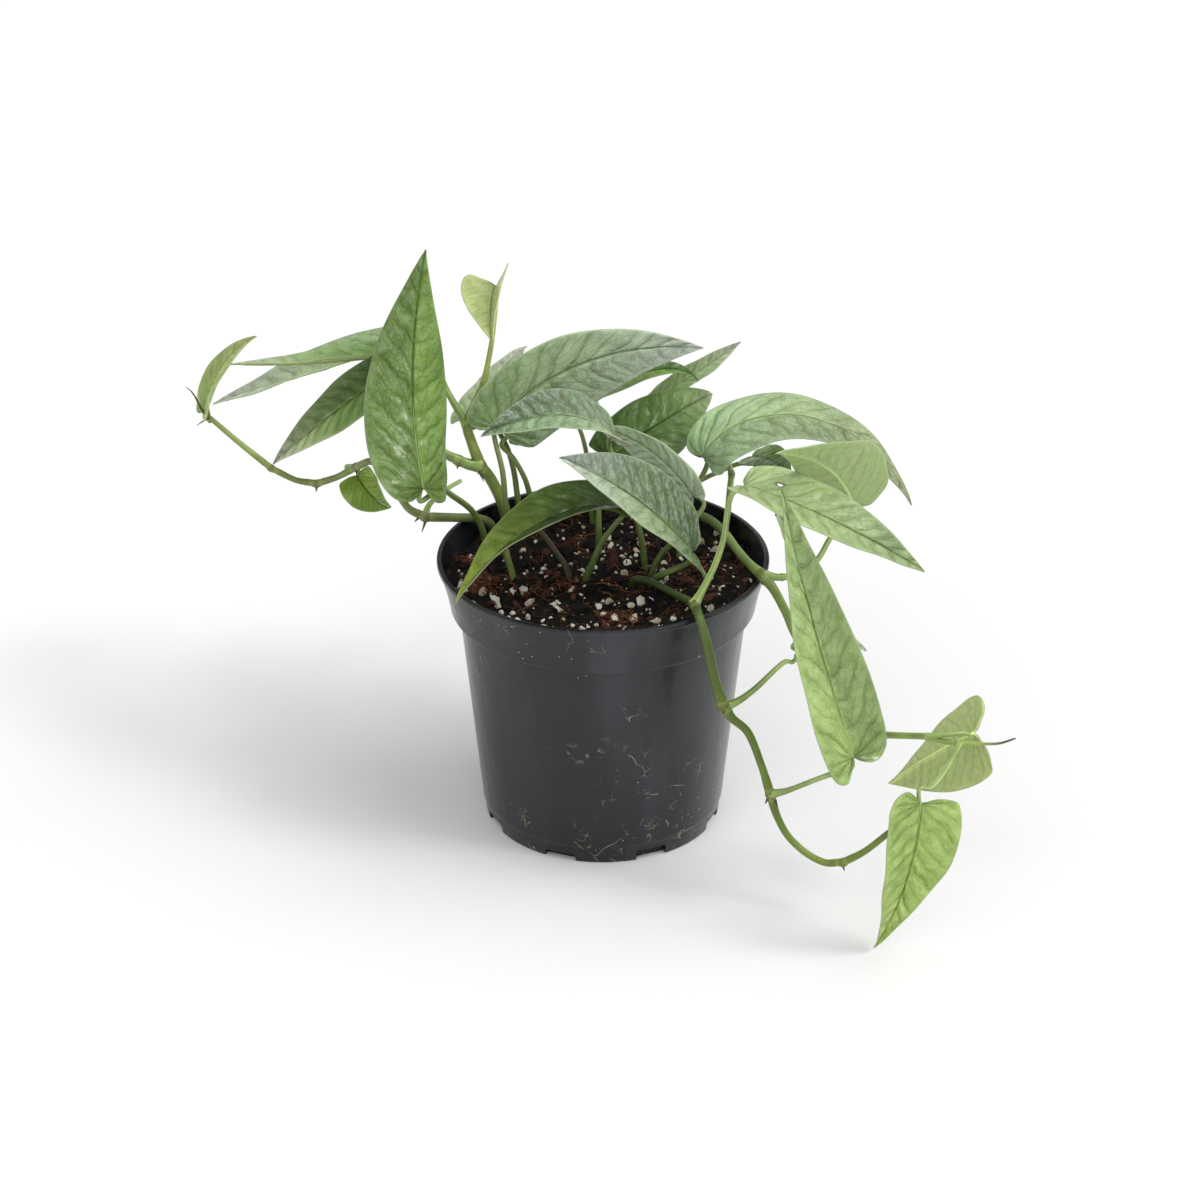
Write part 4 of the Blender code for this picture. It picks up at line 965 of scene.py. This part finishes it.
def make_leaf(name, seed):
    """A leaf: both halves joined at the midrib, a thinner lower skin, a wall round the margin
    and round each hole, and a tapering rib under the midrib."""
    blade, looks = BLADES[name], LEAF_LOOKS[name]
    length, width, half = blade[1], blade[2], looks[3]
    rows, columns = LEAF_STEPS[0] if length > LARGE_LEAF else LEAF_STEPS[1]
    left, right = [leaf_half(blade, side, rows, columns, looks, seed) for side in (-1, 1)]
    points, facing, tones, veins, flat = (np.concatenate(pair) for pair in zip(left[0], right[0]))
    kept, first, where = np.unique(np.round(points, 3), axis=0, return_index=True,
                                   return_inverse=True)
    where = where.ravel()
    normals = np.zeros_like(kept)
    np.add.at(normals, where, facing)
    normals = unit(normals)
    tones, veins, flat = tones[first], veins[first], flat[first]
    x, y = flat[:, 0], flat[:, 1] / length
    part = grid_quads(rows + 1, columns + 1)
    mirrored = [0, 3, 2, 1]
    quads = np.concatenate([where[part][:, mirrored], where[part + len(points) // 2]])
    uvs = np.concatenate([left[1][:, mirrored], right[1]])
    hurt = np.zeros(len(kept))
    for centre_u, centre_y, radius_x, radius_y in LEAF_HOLES.get(name, ()):
        place = np.hypot((x - centre_u * width / 2) / radius_x, (y - centre_y) * length / radius_y)
        hurt = np.maximum(hurt, np.clip((1.75 - place) / 0.6, 0, 1))
        whole = place[quads].mean(1) >= 1
        quads, uvs = quads[whole], uvs[whole]
    margin = np.clip(np.abs(x) / (width / 2), 0, 1)
    thick = LEAF_THICKNESS * (1 - 0.45 * margin**3)
    lower = kept - normals * thick[:, None]
    # Painted shade on the same half of the lower face
    shade = np.where(half * x < 0, 1 - abs(half) * np.clip(np.abs(x) / 2, 0, 1), 1)
    under = rgb(*looks[2]) * (shade * (0.9 + 0.2 * np.clip(y, 0, 1)))[:, None]
    size = len(kept)
    sides = np.stack([quads, np.roll(quads, -1, axis=1)], -1).reshape(-1, 2)
    corners = np.stack([uvs, np.roll(uvs, -1, axis=1)], 2).reshape(-1, 2, 2)
    key, back = sides @ (size + 1, 1), sides @ (1, size + 1)
    open_side = (key != back) & ~np.isin(key, back[key != back])
    (start, end), corners = sides[open_side].T, corners[open_side]
    wall = np.stack([end, start, start + size, end + size], -1)
    skin = Skin()
    skin.add(np.concatenate([kept, lower]), np.concatenate([tones, under]),
             np.concatenate([quads, quads[:, ::-1] + size, wall]),
             np.concatenate([uvs, uvs[:, ::-1], corners[:, [1, 0, 0, 1]]]),
             np.repeat([0, 1, 1], [len(quads), len(quads), len(wall)]))
    along = np.linspace(0.0, 0.93, 40)
    middle, _, _, upper = midrib_frames(blade, along)
    radius = np.interp(along, [0, 0.1, 1], [1.0, 0.8, 0.15]) * np.clip(length / 90, 0.5, 1.1)
    rib = middle - upper * (0.35 + LEAF_THICKNESS + radius * 0.1)[:, None]
    add_tube(skin, rib, radius, rgb(*looks[2]) * 1.15, 8, 1)
    leaf = skin.finish(name + "_blade", (LOOKS["upper"], LOOKS["under"]), node=name)
    total = len(leaf.data.vertices)
    spare = total - 2 * size
    hold(leaf, "hurt", np.concatenate([hurt, hurt, np.zeros(spare)]))
    hold(leaf, "bloom", np.full(total, looks[4]))
    hold(leaf, "veins", np.vstack([veins, veins, np.tile((0.5, 9.0, 0.0), (spare, 1))]))
    hold(leaf, "flat", np.vstack([flat, flat, np.zeros((spare, 3))]))


# ---- stems ----

def add_tube(skin, line, radii, tone, sides, slot=0, groove=0.0):
    """Rings carried along a line without twisting, closed to a point at both ends. A groove
    sinks the side a quarter turn round, which is the upper one, by that share of the radius."""
    line, radii = np.asarray(line, float), np.asarray(radii, float)
    ahead = unit(np.gradient(line, axis=0))
    right = np.zeros_like(line)
    start = np.cross(ahead[0], (0.3, 0.1, 1.0))     # square to a direction that no stem has
    right[0] = start / np.linalg.norm(start)
    for k in range(1, len(line)):
        moved = right[k - 1] - ahead[k] * (right[k - 1] @ ahead[k])
        right[k] = moved / np.linalg.norm(moved)
    up = np.cross(right, ahead)
    cap = np.array(CAP)
    line = np.vstack([line[:1] - ahead[:1] * radii[0] * (1 - cap)[:, None] * 0.8, line,
                      line[-1:] + ahead[-1:] * radii[-1] * (1 - cap[::-1])[:, None] * 0.8])
    radii = np.concatenate([radii[0] * cap, radii, radii[-1] * cap[::-1]])
    right, up = held(right, len(CAP)), held(up, len(CAP))
    tone = held(np.broadcast_to(tone, (len(line) - 2 * len(CAP), 3)), len(CAP))
    turn = np.arange(sides) * 2 * np.pi / sides
    dip = np.abs(turn / (2 * np.pi) - 0.25)
    reach = 1 + groove * (0.35 * np.exp(-((dip - 0.11) / 0.04) ** 2) - np.exp(-(dip / 0.05) ** 2))
    ring = (right[:, None] * (np.cos(turn) * reach)[:, None]
            + up[:, None] * (np.sin(turn) * reach)[:, None])
    points = (line[:, None] + ring * radii[:, None, None]).reshape(-1, 3)
    travel = np.concatenate([[0], np.cumsum(np.linalg.norm(np.diff(line, axis=0), axis=1))])
    quads = turned_quads(len(line), sides)
    uvs = grid_uvs(np.linspace(0, 1, sides + 1), travel / 10)
    skin.add(points, np.repeat(tone, sides, axis=0), quads, uvs, slot)


def stalk_seat(blade, radius):
    """The last two points of a stalk, which comes up under the blade's notch."""
    point, ahead, _, upper = midrib_frames(blade, np.array([0.0, SEAT_REACH / blade[1]]))
    return (point[0] - ahead[0] * 2 * SEAT_REACH - upper[0] * (radius + 0.6 + SEAT_REACH),
            point[1] - upper[1] * (radius * 0.55 + LEAF_THICKNESS))


def toward(here, other):
    """A point of a stem a little way from here to another."""
    reach = ELBOW / np.linalg.norm((other - here)[:3])
    return here + (other - here) * min(ELBOW_SHARE, reach)


def with_elbows(knots):
    """The knots, with one more to each side of a joint, which is a knot thicker than the two next
    to it, so that the stem turns sharply there; and the joints."""
    route, joints = [knots[0]], []
    for before, here, after in zip(knots, knots[1:], knots[2:]):
        if here[3] > max(before[3], after[3]):
            route += [toward(here, before), here, toward(here, after)]
            joints.append(here)
        else:
            route.append(here)
    return np.array([*route, knots[-1]]), joints


def make_stem(name, seed):
    """A stem and its stalks: each run swells at its joints, carries a pale ring and a brown scar
    there, and widens into a sheath where a stalk leaves it."""
    skin = Skin()
    marks = []
    rng = np.random.default_rng(seed)
    for number, (run, carried) in enumerate(STEMS[name]):
        main = number == 0
        knots = [list(knot) for knot in run]
        if main:
            (x, y, z, radius), last = run[0], run[-1]
            knots.insert(0, [x, y, z - STEM_DEPTH, radius])
            if last[2] < SOIL_TOP and np.hypot(*last[:2]) < SOIL_RADIUS:
                knots.append([last[0], last[1], last[2] - STEM_DEPTH, last[3]])
        if carried:
            radius = run[-1][3] * 0.9
            knots += [[*seat, radius] for seat in stalk_seat(BLADES[carried], radius)]
        knots, joints = with_elbows(np.array(knots))
        spans = np.linalg.norm(np.diff(knots[:, :3], axis=0), axis=1)
        counts = np.maximum(2, np.round(spans / STEM_STEP).astype(int))
        t = np.concatenate([k + np.arange(n) / n for k, n in enumerate(counts)] + [[len(counts)]])
        line = catmull_rom(knots, t)
        middle, radii = line[:, :3], line[:, 3].copy()
        scar, pale = np.zeros((2, len(line)))
        for joint in joints:
            away = np.linalg.norm(middle - joint[:3], axis=1)
            radii += 0.22 * np.exp(-(away / 1.1) ** 2) - 0.12 * np.exp(-((away - 2.4) / 0.8) ** 2)
            scar = np.maximum(scar, np.exp(-(away / 1.3) ** 2) * rng.uniform(0.5, 1.0))
            pale = np.maximum(pale, 0.8 * np.exp(-((away - 1.9) / 0.9) ** 2))
        if not main:
            away = np.linalg.norm(middle - middle[0], axis=1)
            radii *= 1 + 0.55 * np.exp(-away / 3.5)
            pale = np.maximum(pale, np.exp(-away / 4.0))
        share = np.linspace(0, 1, len(line))[:, None]
        begin, end = STEM_LOOKS.get(name, STALK_LOOK) if main else BRANCH_LOOK
        tone = mixed(rgb(*begin), rgb(*end), share)
        if name in BARE_TIPS and main:
            tone = mixed(tone, rgb(*DRY_TIP), np.clip((share - 0.93) / 0.05, 0, 1))
        is_stalk = float(not main or len(STEMS[name]) == 1)
        add_tube(skin, middle, radii, tone, STEM_SIDES, 0, STALK_GROOVE * is_stalk)
        rows = held(np.column_stack([scar, pale, np.full(len(line), is_stalk)]), len(CAP))
        marks.append(rows.repeat(STEM_SIDES, 0))
    for place, direction, length, radius in ROOT_NUBS.get(name, ()):
        along = np.linspace(0, 1, NUB_STEPS)[:, None]
        course = np.array(place) + unit(np.array(direction, float)) * along * length
        course = course + np.sin(along * 3.0 + rng.uniform(0, 6)) * 0.1 * length * along
        add_tube(skin, course, radius * (1 - 0.75 * along[:, 0]), rgb(84, 78, 50), NUB_SIDES)
        marks.append(np.tile((0.2, 0, 0), ((NUB_STEPS + 2 * len(CAP)) * NUB_SIDES, 1)))
    stem = skin.finish(name + "_skin", (LOOKS["stem"],), node=name)
    for mark, values in zip(("brown", "pale", "channel"), np.concatenate(marks).T):
        hold(stem, mark, values)


# ---- pot ----

def pot_profile():
    """Outline of radius and height: foot ring, wall, band with a rolled lower edge, double lip,
    and the inside down to the floor."""
    inner_rim = RIM_RADIUS - 1.0 - WALL
    knots = [
        (0, 0), (FOOT_RADIUS - 1.2, 0), (FOOT_RADIUS - 0.4, 0.2), (FOOT_RADIUS, 0.9),
        (FOOT_RADIUS + 0.35, FOOT_HEIGHT - 1.6), (FOOT_RADIUS + 0.6, FOOT_HEIGHT - 0.9),
        (WALL_FOOT_RADIUS - 0.25, FOOT_HEIGHT - 0.5), (WALL_FOOT_RADIUS, FOOT_HEIGHT),
        (WALL_FOOT_RADIUS + 0.15, FOOT_HEIGHT + 1.5),
    ]
    low, high = knots[-1], (WALL_TOP_RADIUS, BAND_FOOT_Z)
    knots += [mixed(np.array(low), np.array(high), k) for k in np.linspace(0.08, 1, WALL_STEPS)]
    knots += [
        (WALL_TOP_RADIUS + 0.5, BAND_FOOT_Z + 0.2), (BAND_FOOT_RADIUS - 1.0, BAND_FOOT_Z + 0.5),
        (BAND_FOOT_RADIUS - 0.35, BAND_FOOT_Z + 0.8), (BAND_FOOT_RADIUS, BAND_FOOT_Z + 1.5),
        (BAND_FOOT_RADIUS + 0.1, BAND_FOOT_Z + 2.4), (BAND_FOOT_RADIUS + 1.6, BAND_FOOT_Z + 10),
        (RIM_RADIUS - 1.45, POT_HEIGHT - 4.2), (RIM_RADIUS - 1.1, POT_HEIGHT - 2.5),
        (RIM_RADIUS - 0.35, POT_HEIGHT - 2.25), (RIM_RADIUS - 0.05, POT_HEIGHT - 1.8),
        (RIM_RADIUS, POT_HEIGHT - 0.9), (RIM_RADIUS - 0.2, POT_HEIGHT - 0.25),
        (RIM_RADIUS - 0.6, POT_HEIGHT), (inner_rim + 0.5, POT_HEIGHT - 0.02),
        (inner_rim + 0.15, POT_HEIGHT - 0.3), (inner_rim, POT_HEIGHT - 0.9),
        (BAND_FOOT_RADIUS - WALL + 0.3, BAND_FOOT_Z + 3.4), (WALL_TOP_RADIUS - WALL, BAND_FOOT_Z + 0.6),
        (WALL_FOOT_RADIUS - WALL, FOOT_HEIGHT), (FOOT_RADIUS - 2.0, FLOOR), (0, FLOOR),
    ]
    return np.array(knots)


def make_pot():
    """The profile turned round Z, with a faint ovality, then cut by rounded drain slots."""
    profile = pot_profile()
    turn = np.arange(POT_TURNS) * 2 * np.pi / POT_TURNS
    oval = 1 - 0.0016 * (1 + np.cos(2 * turn + 0.7)) * (profile[:, 1:] / POT_HEIGHT)
    dent = 1 - 0.0012 * (1 + np.cos(5 * turn + profile[:, 1:] / 40))
    radius = profile[:, :1] * oval * dent
    points = rings(radius, profile[:, 1:], turn).reshape(-1, 3)
    quads = turned_quads(len(profile), POT_TURNS)
    uvs = grid_uvs(np.linspace(0, 1, POT_TURNS + 1), profile[:, 1] / POT_HEIGHT)
    skin = Skin()
    skin.add(points, rgb(50, 52, 55), quads, uvs)
    pot = skin.finish("pot_wall", (LOOKS["pot"],), POT_EDGE, "pot")
    change(pot.data, lambda work: bmesh.ops.delete(
        work, geom=[v for v in work.verts if not v.link_faces], context="VERTS"))
    cutters = bpy.data.collections.new("slot cutters")
    bpy.context.scene.collection.children.link(cutters)
    for k in range(SLOTS):
        angle = np.radians(SLOT_TURN + k * 360 / SLOTS)
        cutters.objects.link(slot_cutter(angle, SLOT_WIDTH, SLOT_HEIGHTS[k % 3]))
    cut = pot.modifiers.new("Drain slots", "BOOLEAN")
    cut.operand_type = "COLLECTION"
    cut.collection = cutters
    cut.operation = "DIFFERENCE"
    cut.solver = "EXACT"
    graph = bpy.context.evaluated_depsgraph_get()
    mesh = bpy.data.meshes.new_from_object(pot.evaluated_get(graph))
    pot.modifiers.clear()
    pot.data = mesh
    for helper in list(cutters.objects):
        bpy.data.objects.remove(helper, do_unlink=True)
    bpy.data.collections.remove(cutters)
    mesh.shade_smooth()
    mesh.set_sharp_from_angle(angle=np.radians(POT_EDGE))


def change(mesh, action):
    """Does an action on the mesh as a bmesh."""
    work = bmesh.new()
    work.from_mesh(mesh)
    action(work)
    work.to_mesh(mesh)
    work.free()


def slot_cutter(angle, width, height):
    """A block with a rounded top, across the foot at an angle."""
    bows = np.linspace(0, np.pi, 9) / 2
    outline = [(-width / 2, -2.0)]
    outline += [(-width / 2 + SLOT_ROUNDING * (1 - np.cos(bow)),
                 height - SLOT_ROUNDING * (1 - np.sin(bow))) for bow in bows]
    outline += [(-x, z) for x, z in reversed(outline)]
    c, s = np.cos(angle), np.sin(angle)
    points = [(r * c - x * s, r * s + x * c, z)
              for r in (FOOT_RADIUS - 4.0, FOOT_RADIUS + 6.0) for x, z in outline]
    n = len(outline)
    faces = [tuple(range(n)), tuple(range(2 * n - 1, n - 1, -1))]
    faces += [(k, n + k, n + (k + 1) % n, (k + 1) % n) for k in range(n)]
    mesh = bpy.data.meshes.new("slot")
    mesh.from_pydata([tuple(np.array(p) * MM) for p in points], [], faces)
    change(mesh, lambda work: bmesh.ops.recalc_face_normals(work, faces=work.faces))
    return bpy.data.objects.new("slot", mesh)


# ---- potting mix ----

def soil_height(x, y):
    """Low swells with crumbs of three sizes on them."""
    swell = 0.9 * np.sin(x / 11 + 1) * np.cos(y / 13) + 0.7 * np.sin(x / 5.3 - y / 7.1)
    crumbs = (1.0 * lattice_noise(x / 4.5, y / 4.5, 11) + 0.7 * lattice_noise(x / 2.1, y / 2.1, 12)
              + 0.4 * lattice_noise(x / 1.0, y / 1.0, 13))
    return SOIL_TOP - 0.4 + 0.8 * swell + crumbs


def make_soil():
    """The top as rings out to the wall, then a side and a flat foot inside the pot."""
    radius = np.concatenate([[0.0], np.linspace(0.6, SOIL_RADIUS, SOIL_RINGS)])
    turn = np.arange(SOIL_TURNS) * 2 * np.pi / SOIL_TURNS
    top = rings(radius[:, None], 0.0, turn)
    top[..., 2] = (soil_height(top[..., 0], top[..., 1])
                   - 1.2 * np.clip((radius - 66) / 5, 0, 1)[:, None])
    walls = [(BAND_FOOT_RADIUS - WALL, BAND_FOOT_Z + 4), (WALL_TOP_RADIUS - WALL - 0.4, BAND_FOOT_Z),
             (WALL_FOOT_RADIUS - WALL - 0.4, FOOT_HEIGHT + 0.4), (FOOT_RADIUS - 2.5, FLOOR + 0.3),
             (0.0, FLOOR + 0.3)]
    lower = [rings(r, h, turn) for r, h in walls]
    points = np.concatenate([top, lower]).reshape(-1, 3)
    rows = len(radius) + len(walls)
    quads = turned_quads(rows, SOIL_TURNS)[:, ::-1]
    uvs = grid_uvs(np.linspace(0, 1, SOIL_TURNS + 1), np.linspace(0, 1, rows))[:, ::-1]
    skin = Skin()
    skin.add(points, rgb(52, 40, 30), quads, uvs)
    skin.finish("potting_mix", (LOOKS["soil"],), SOIL_EDGE, "soil")


def ball(divisions):
    """Points and faces of a unit ball: 20 triangles, whose last corner repeats, or for two
    divisions a cube's sides cut in four and pushed out to the ball."""
    work = bmesh.new()
    if divisions == 1:
        bmesh.ops.create_icosphere(work, subdivisions=1, radius=1.0)
    else:
        bmesh.ops.create_cube(work, size=2.0)
        bmesh.ops.subdivide_edges(work, edges=work.edges[:], cuts=1, use_grid_fill=True)
    work.verts.index_update()
    points = unit(np.array([v.co[:] for v in work.verts]))
    faces = np.array([[v.index for v in face.verts] for face in work.faces])
    work.free()
    return points, faces if faces.shape[1] == 4 else np.concatenate([faces, faces[:, 2:]], 1)


def random_turns(rng, count):
    """Rotation matrices spread evenly over all turns: those of random unit quaternions."""
    w, x, y, z = unit(rng.normal(size=(count, 4))).T
    rows = [[1 - 2 * (y * y + z * z), 2 * (x * y - z * w), 2 * (x * z + y * w)],
            [2 * (x * y + z * w), 1 - 2 * (x * x + z * z), 2 * (y * z - x * w)],
            [2 * (x * z - y * w), 2 * (y * z + x * w), 1 - 2 * (x * x + y * y)]]
    return np.moveaxis(np.array(rows), -1, 0)


def make_grains(name, places, sizes, tones, seed, divisions, rough, stretch, sharp):
    """Many lumps in one mesh: a ball for each, stretched, knobbed by random waves and turned."""
    rng = np.random.default_rng(seed)
    unit_ball, faces = ball(divisions)
    count = len(places)
    scale = sizes[:, None] * (1 + stretch * rng.uniform(-1, 1, (count, 3)))
    waves = rng.normal(size=(count, 4, 3)) * 2.2
    knobs = np.sin(np.einsum("nwk,vk->nvw", waves, unit_ball) + rng.uniform(0, 6, (count, 1, 4)))
    shape = unit_ball[None] * (1 + rough * knobs.sum(-1) / 2)[..., None] * scale[:, None]
    shape = np.einsum("nij,nvj->nvi", random_turns(rng, count), shape)
    points = (shape + places[:, None]).reshape(-1, 3)
    quads = (faces[None] + (np.arange(count) * len(unit_ball))[:, None, None]).reshape(-1, 4)
    uvs = np.zeros((len(quads), 4, 2))
    skin = Skin()
    skin.add(points, np.repeat(tones, len(unit_ball), axis=0), quads, uvs)
    skin.finish(name, (LOOKS[name],), sharp)


def stem_feet():
    """Where stems enter the soil or lie on it, with their radii."""
    return np.array([knot for runs in STEMS.values() for knot in runs[0][0]
                     if knot[2] < ON_THE_SOIL])


def scattered(rng, count, reach, sizes, feet, spacing):
    """Random places on the soil, larger grains first, each clear of the others and of stems."""
    chosen, kept = [], []
    for size in np.sort(sizes)[::-1]:
        for _ in range(60):
            spot = rng.uniform(-reach, reach, 2)
            if np.hypot(*spot) > reach - size:
                continue
            if (np.hypot(*(feet[:, :2] - spot).T) < feet[:, 3] + size).any():
                continue
            apart = np.hypot(*(np.reshape(chosen, (-1, 2)) - spot).T)
            if (apart < spacing * (np.array(kept) + size)).any():
                continue
            chosen.append(spot)
            kept.append(size)
            break
        if len(chosen) >= count:
            break
    return np.array(chosen), np.array(kept)


def make_soil_grains():
    """Perlite, the largest grains in their own places, then bark chips."""
    rng = np.random.default_rng(41)
    feet = stem_feet()
    large = np.array(LARGE_PERLITE, float)
    spots, sizes = scattered(rng, PERLITE_GRAINS, GRAIN_REACH,
                             rng.gamma(2.2, 0.34, 420).clip(0.4, 1.9), feet, 1.05)
    clear = (np.hypot(spots[:, None, 0] - large[:, 0], spots[:, None, 1] - large[:, 1])
             > sizes[:, None] + large[:, 2]).all(1)
    spots = np.vstack([large[:, :2], spots[clear]])
    sizes = np.concatenate([large[:, 2], sizes[clear]])
    height = soil_height(*spots.T) + sizes * rng.uniform(0.05, 0.55, len(sizes))
    tones = mixed(rgb(178, 160, 132), rgb(236, 231, 218), rng.uniform(0, 1, (len(sizes), 1)))
    make_grains("perlite", np.column_stack([spots, height]), sizes * 0.9, tones,
                seed=5, divisions=2, rough=0.36, stretch=0.34, sharp=32)
    spots, sizes = scattered(rng, BARK_CHIPS, BARK_REACH,
                             rng.gamma(2.6, 0.48, 620).clip(0.6, 3.4), feet, 0.72)
    height = soil_height(*spots.T) + sizes * 0.1
    kind = rng.uniform(0, 1, (len(sizes), 1))
    tones = np.where(kind > 0.30, rgb(24, 18, 13), rgb(80, 46, 30))
    tones = tones * rng.uniform(0.5, 1.5, (len(sizes), 1))
    make_grains("bark_chips", np.column_stack([spots, height]), sizes, tones,
                seed=6, divisions=1, rough=0.34, stretch=0.7, sharp=28)


def make_fibres():
    """Coir fibres: short thin bowed threads that lie on the crumbs."""
    rng = np.random.default_rng(17)
    skin = Skin()
    loose = [(*rng.uniform(-66, 66, 2), 0.0, 1.0) for _ in range(FIBRES)]
    tufts = [(*rng.normal((x, y), size / 2), height * rng.uniform(0, 1), 0.55)
             for x, y, size, height, count in COIR_TUFTS for _ in range(count)]
    for *spot, raised, share in loose + tufts:
        heading, bow = rng.uniform(0, 6.28), rng.uniform(-2, 2)
        length = rng.uniform(4, 13) * share
        along = np.linspace(-0.5, 0.5, 7)
        x = spot[0] + along * length * np.cos(heading) - bow * along**2 * 4 * np.sin(heading)
        y = spot[1] + along * length * np.sin(heading) + bow * along**2 * 4 * np.cos(heading)
        if np.hypot(x, y).max() >= GRAIN_REACH:
            continue
        z = soil_height(x, y) + 0.5 + raised + rng.uniform(0, 0.9) * (1 - 4 * along**2)
        tone = (rgb(128, 84, 52) if share == 1 else rgb(112, 66, 44)) * rng.uniform(0.4, 1.3)
        add_tube(skin, np.column_stack([x, y, z]), np.full(7, rng.uniform(0.14, 0.3)), tone, 5)
    skin.finish("coir_fibres", (LOOKS["bark_chips"],))


# ---- room ----

def make_room():
    """A white floor, soft light from the upper right, and the camera."""
    scene = bpy.context.scene
    mesh = bpy.data.meshes.new("floor")
    mesh.from_pydata([(x * FLOOR_REACH, y * FLOOR_REACH, 0)
                      for x, y in ((-1, -1), (1, -1), (1, 1), (-1, 1))], [], [(0, 1, 2, 3)])
    mesh.materials.append(floor_white())
    linked("floor", mesh)
    world = bpy.data.worlds.new("studio")
    world.use_nodes = True
    sky = world.node_tree.nodes["Background"].inputs
    sky["Color"].default_value = (1, 1, 1, 1)
    sky["Strength"].default_value = SKY
    scene.world = world
    for name, place, spread, strength in LAMPS:
        lamp = bpy.data.lights.new(name, "SUN")
        lamp.angle = np.radians(spread)
        lamp.energy = strength
        holder = linked(name, lamp)
        holder.location = place
        holder.rotation_euler = (-Vector(place)).to_track_quat("-Z", "Y").to_euler()
    rise = np.radians(CAMERA_RISE)
    camera = linked("camera", bpy.data.cameras.new("camera"))
    back = Vector((0, -np.cos(rise), np.sin(rise)))
    camera.location = Vector(LOOK_AT) + back * CAMERA_DISTANCE
    camera.rotation_euler = (-back).to_track_quat("-Z", "Y").to_euler()
    camera.data.lens = LENS
    camera.data.sensor_width = SENSOR
    camera.data.clip_start = 0.05
    scene.camera = camera
    scene.view_settings.view_transform = "Standard"
    scene.view_settings.look = "None"


LOOKS = {
    "upper": leaf_upper(),
    "under": leaf_under(),
    "stem": stem_skin(),
    "pot": pot_plastic(),
    "soil": potting_mix(),
    "perlite": grain_skin("perlite", 0.8, (214, 200, 176), 0.35, 0.3),
    "bark_chips": grain_skin("bark", 0.85, (24, 18, 14), 0.5, 0.5),
}

make_room()
make_pot()
make_soil()
make_soil_grains()
make_fibres()
for seed, stem_name in enumerate(STEMS):
    make_stem(stem_name, 100 + seed)
for seed, leaf_name in enumerate(BLADES):
    make_leaf(leaf_name, 1000 + 20 * seed)
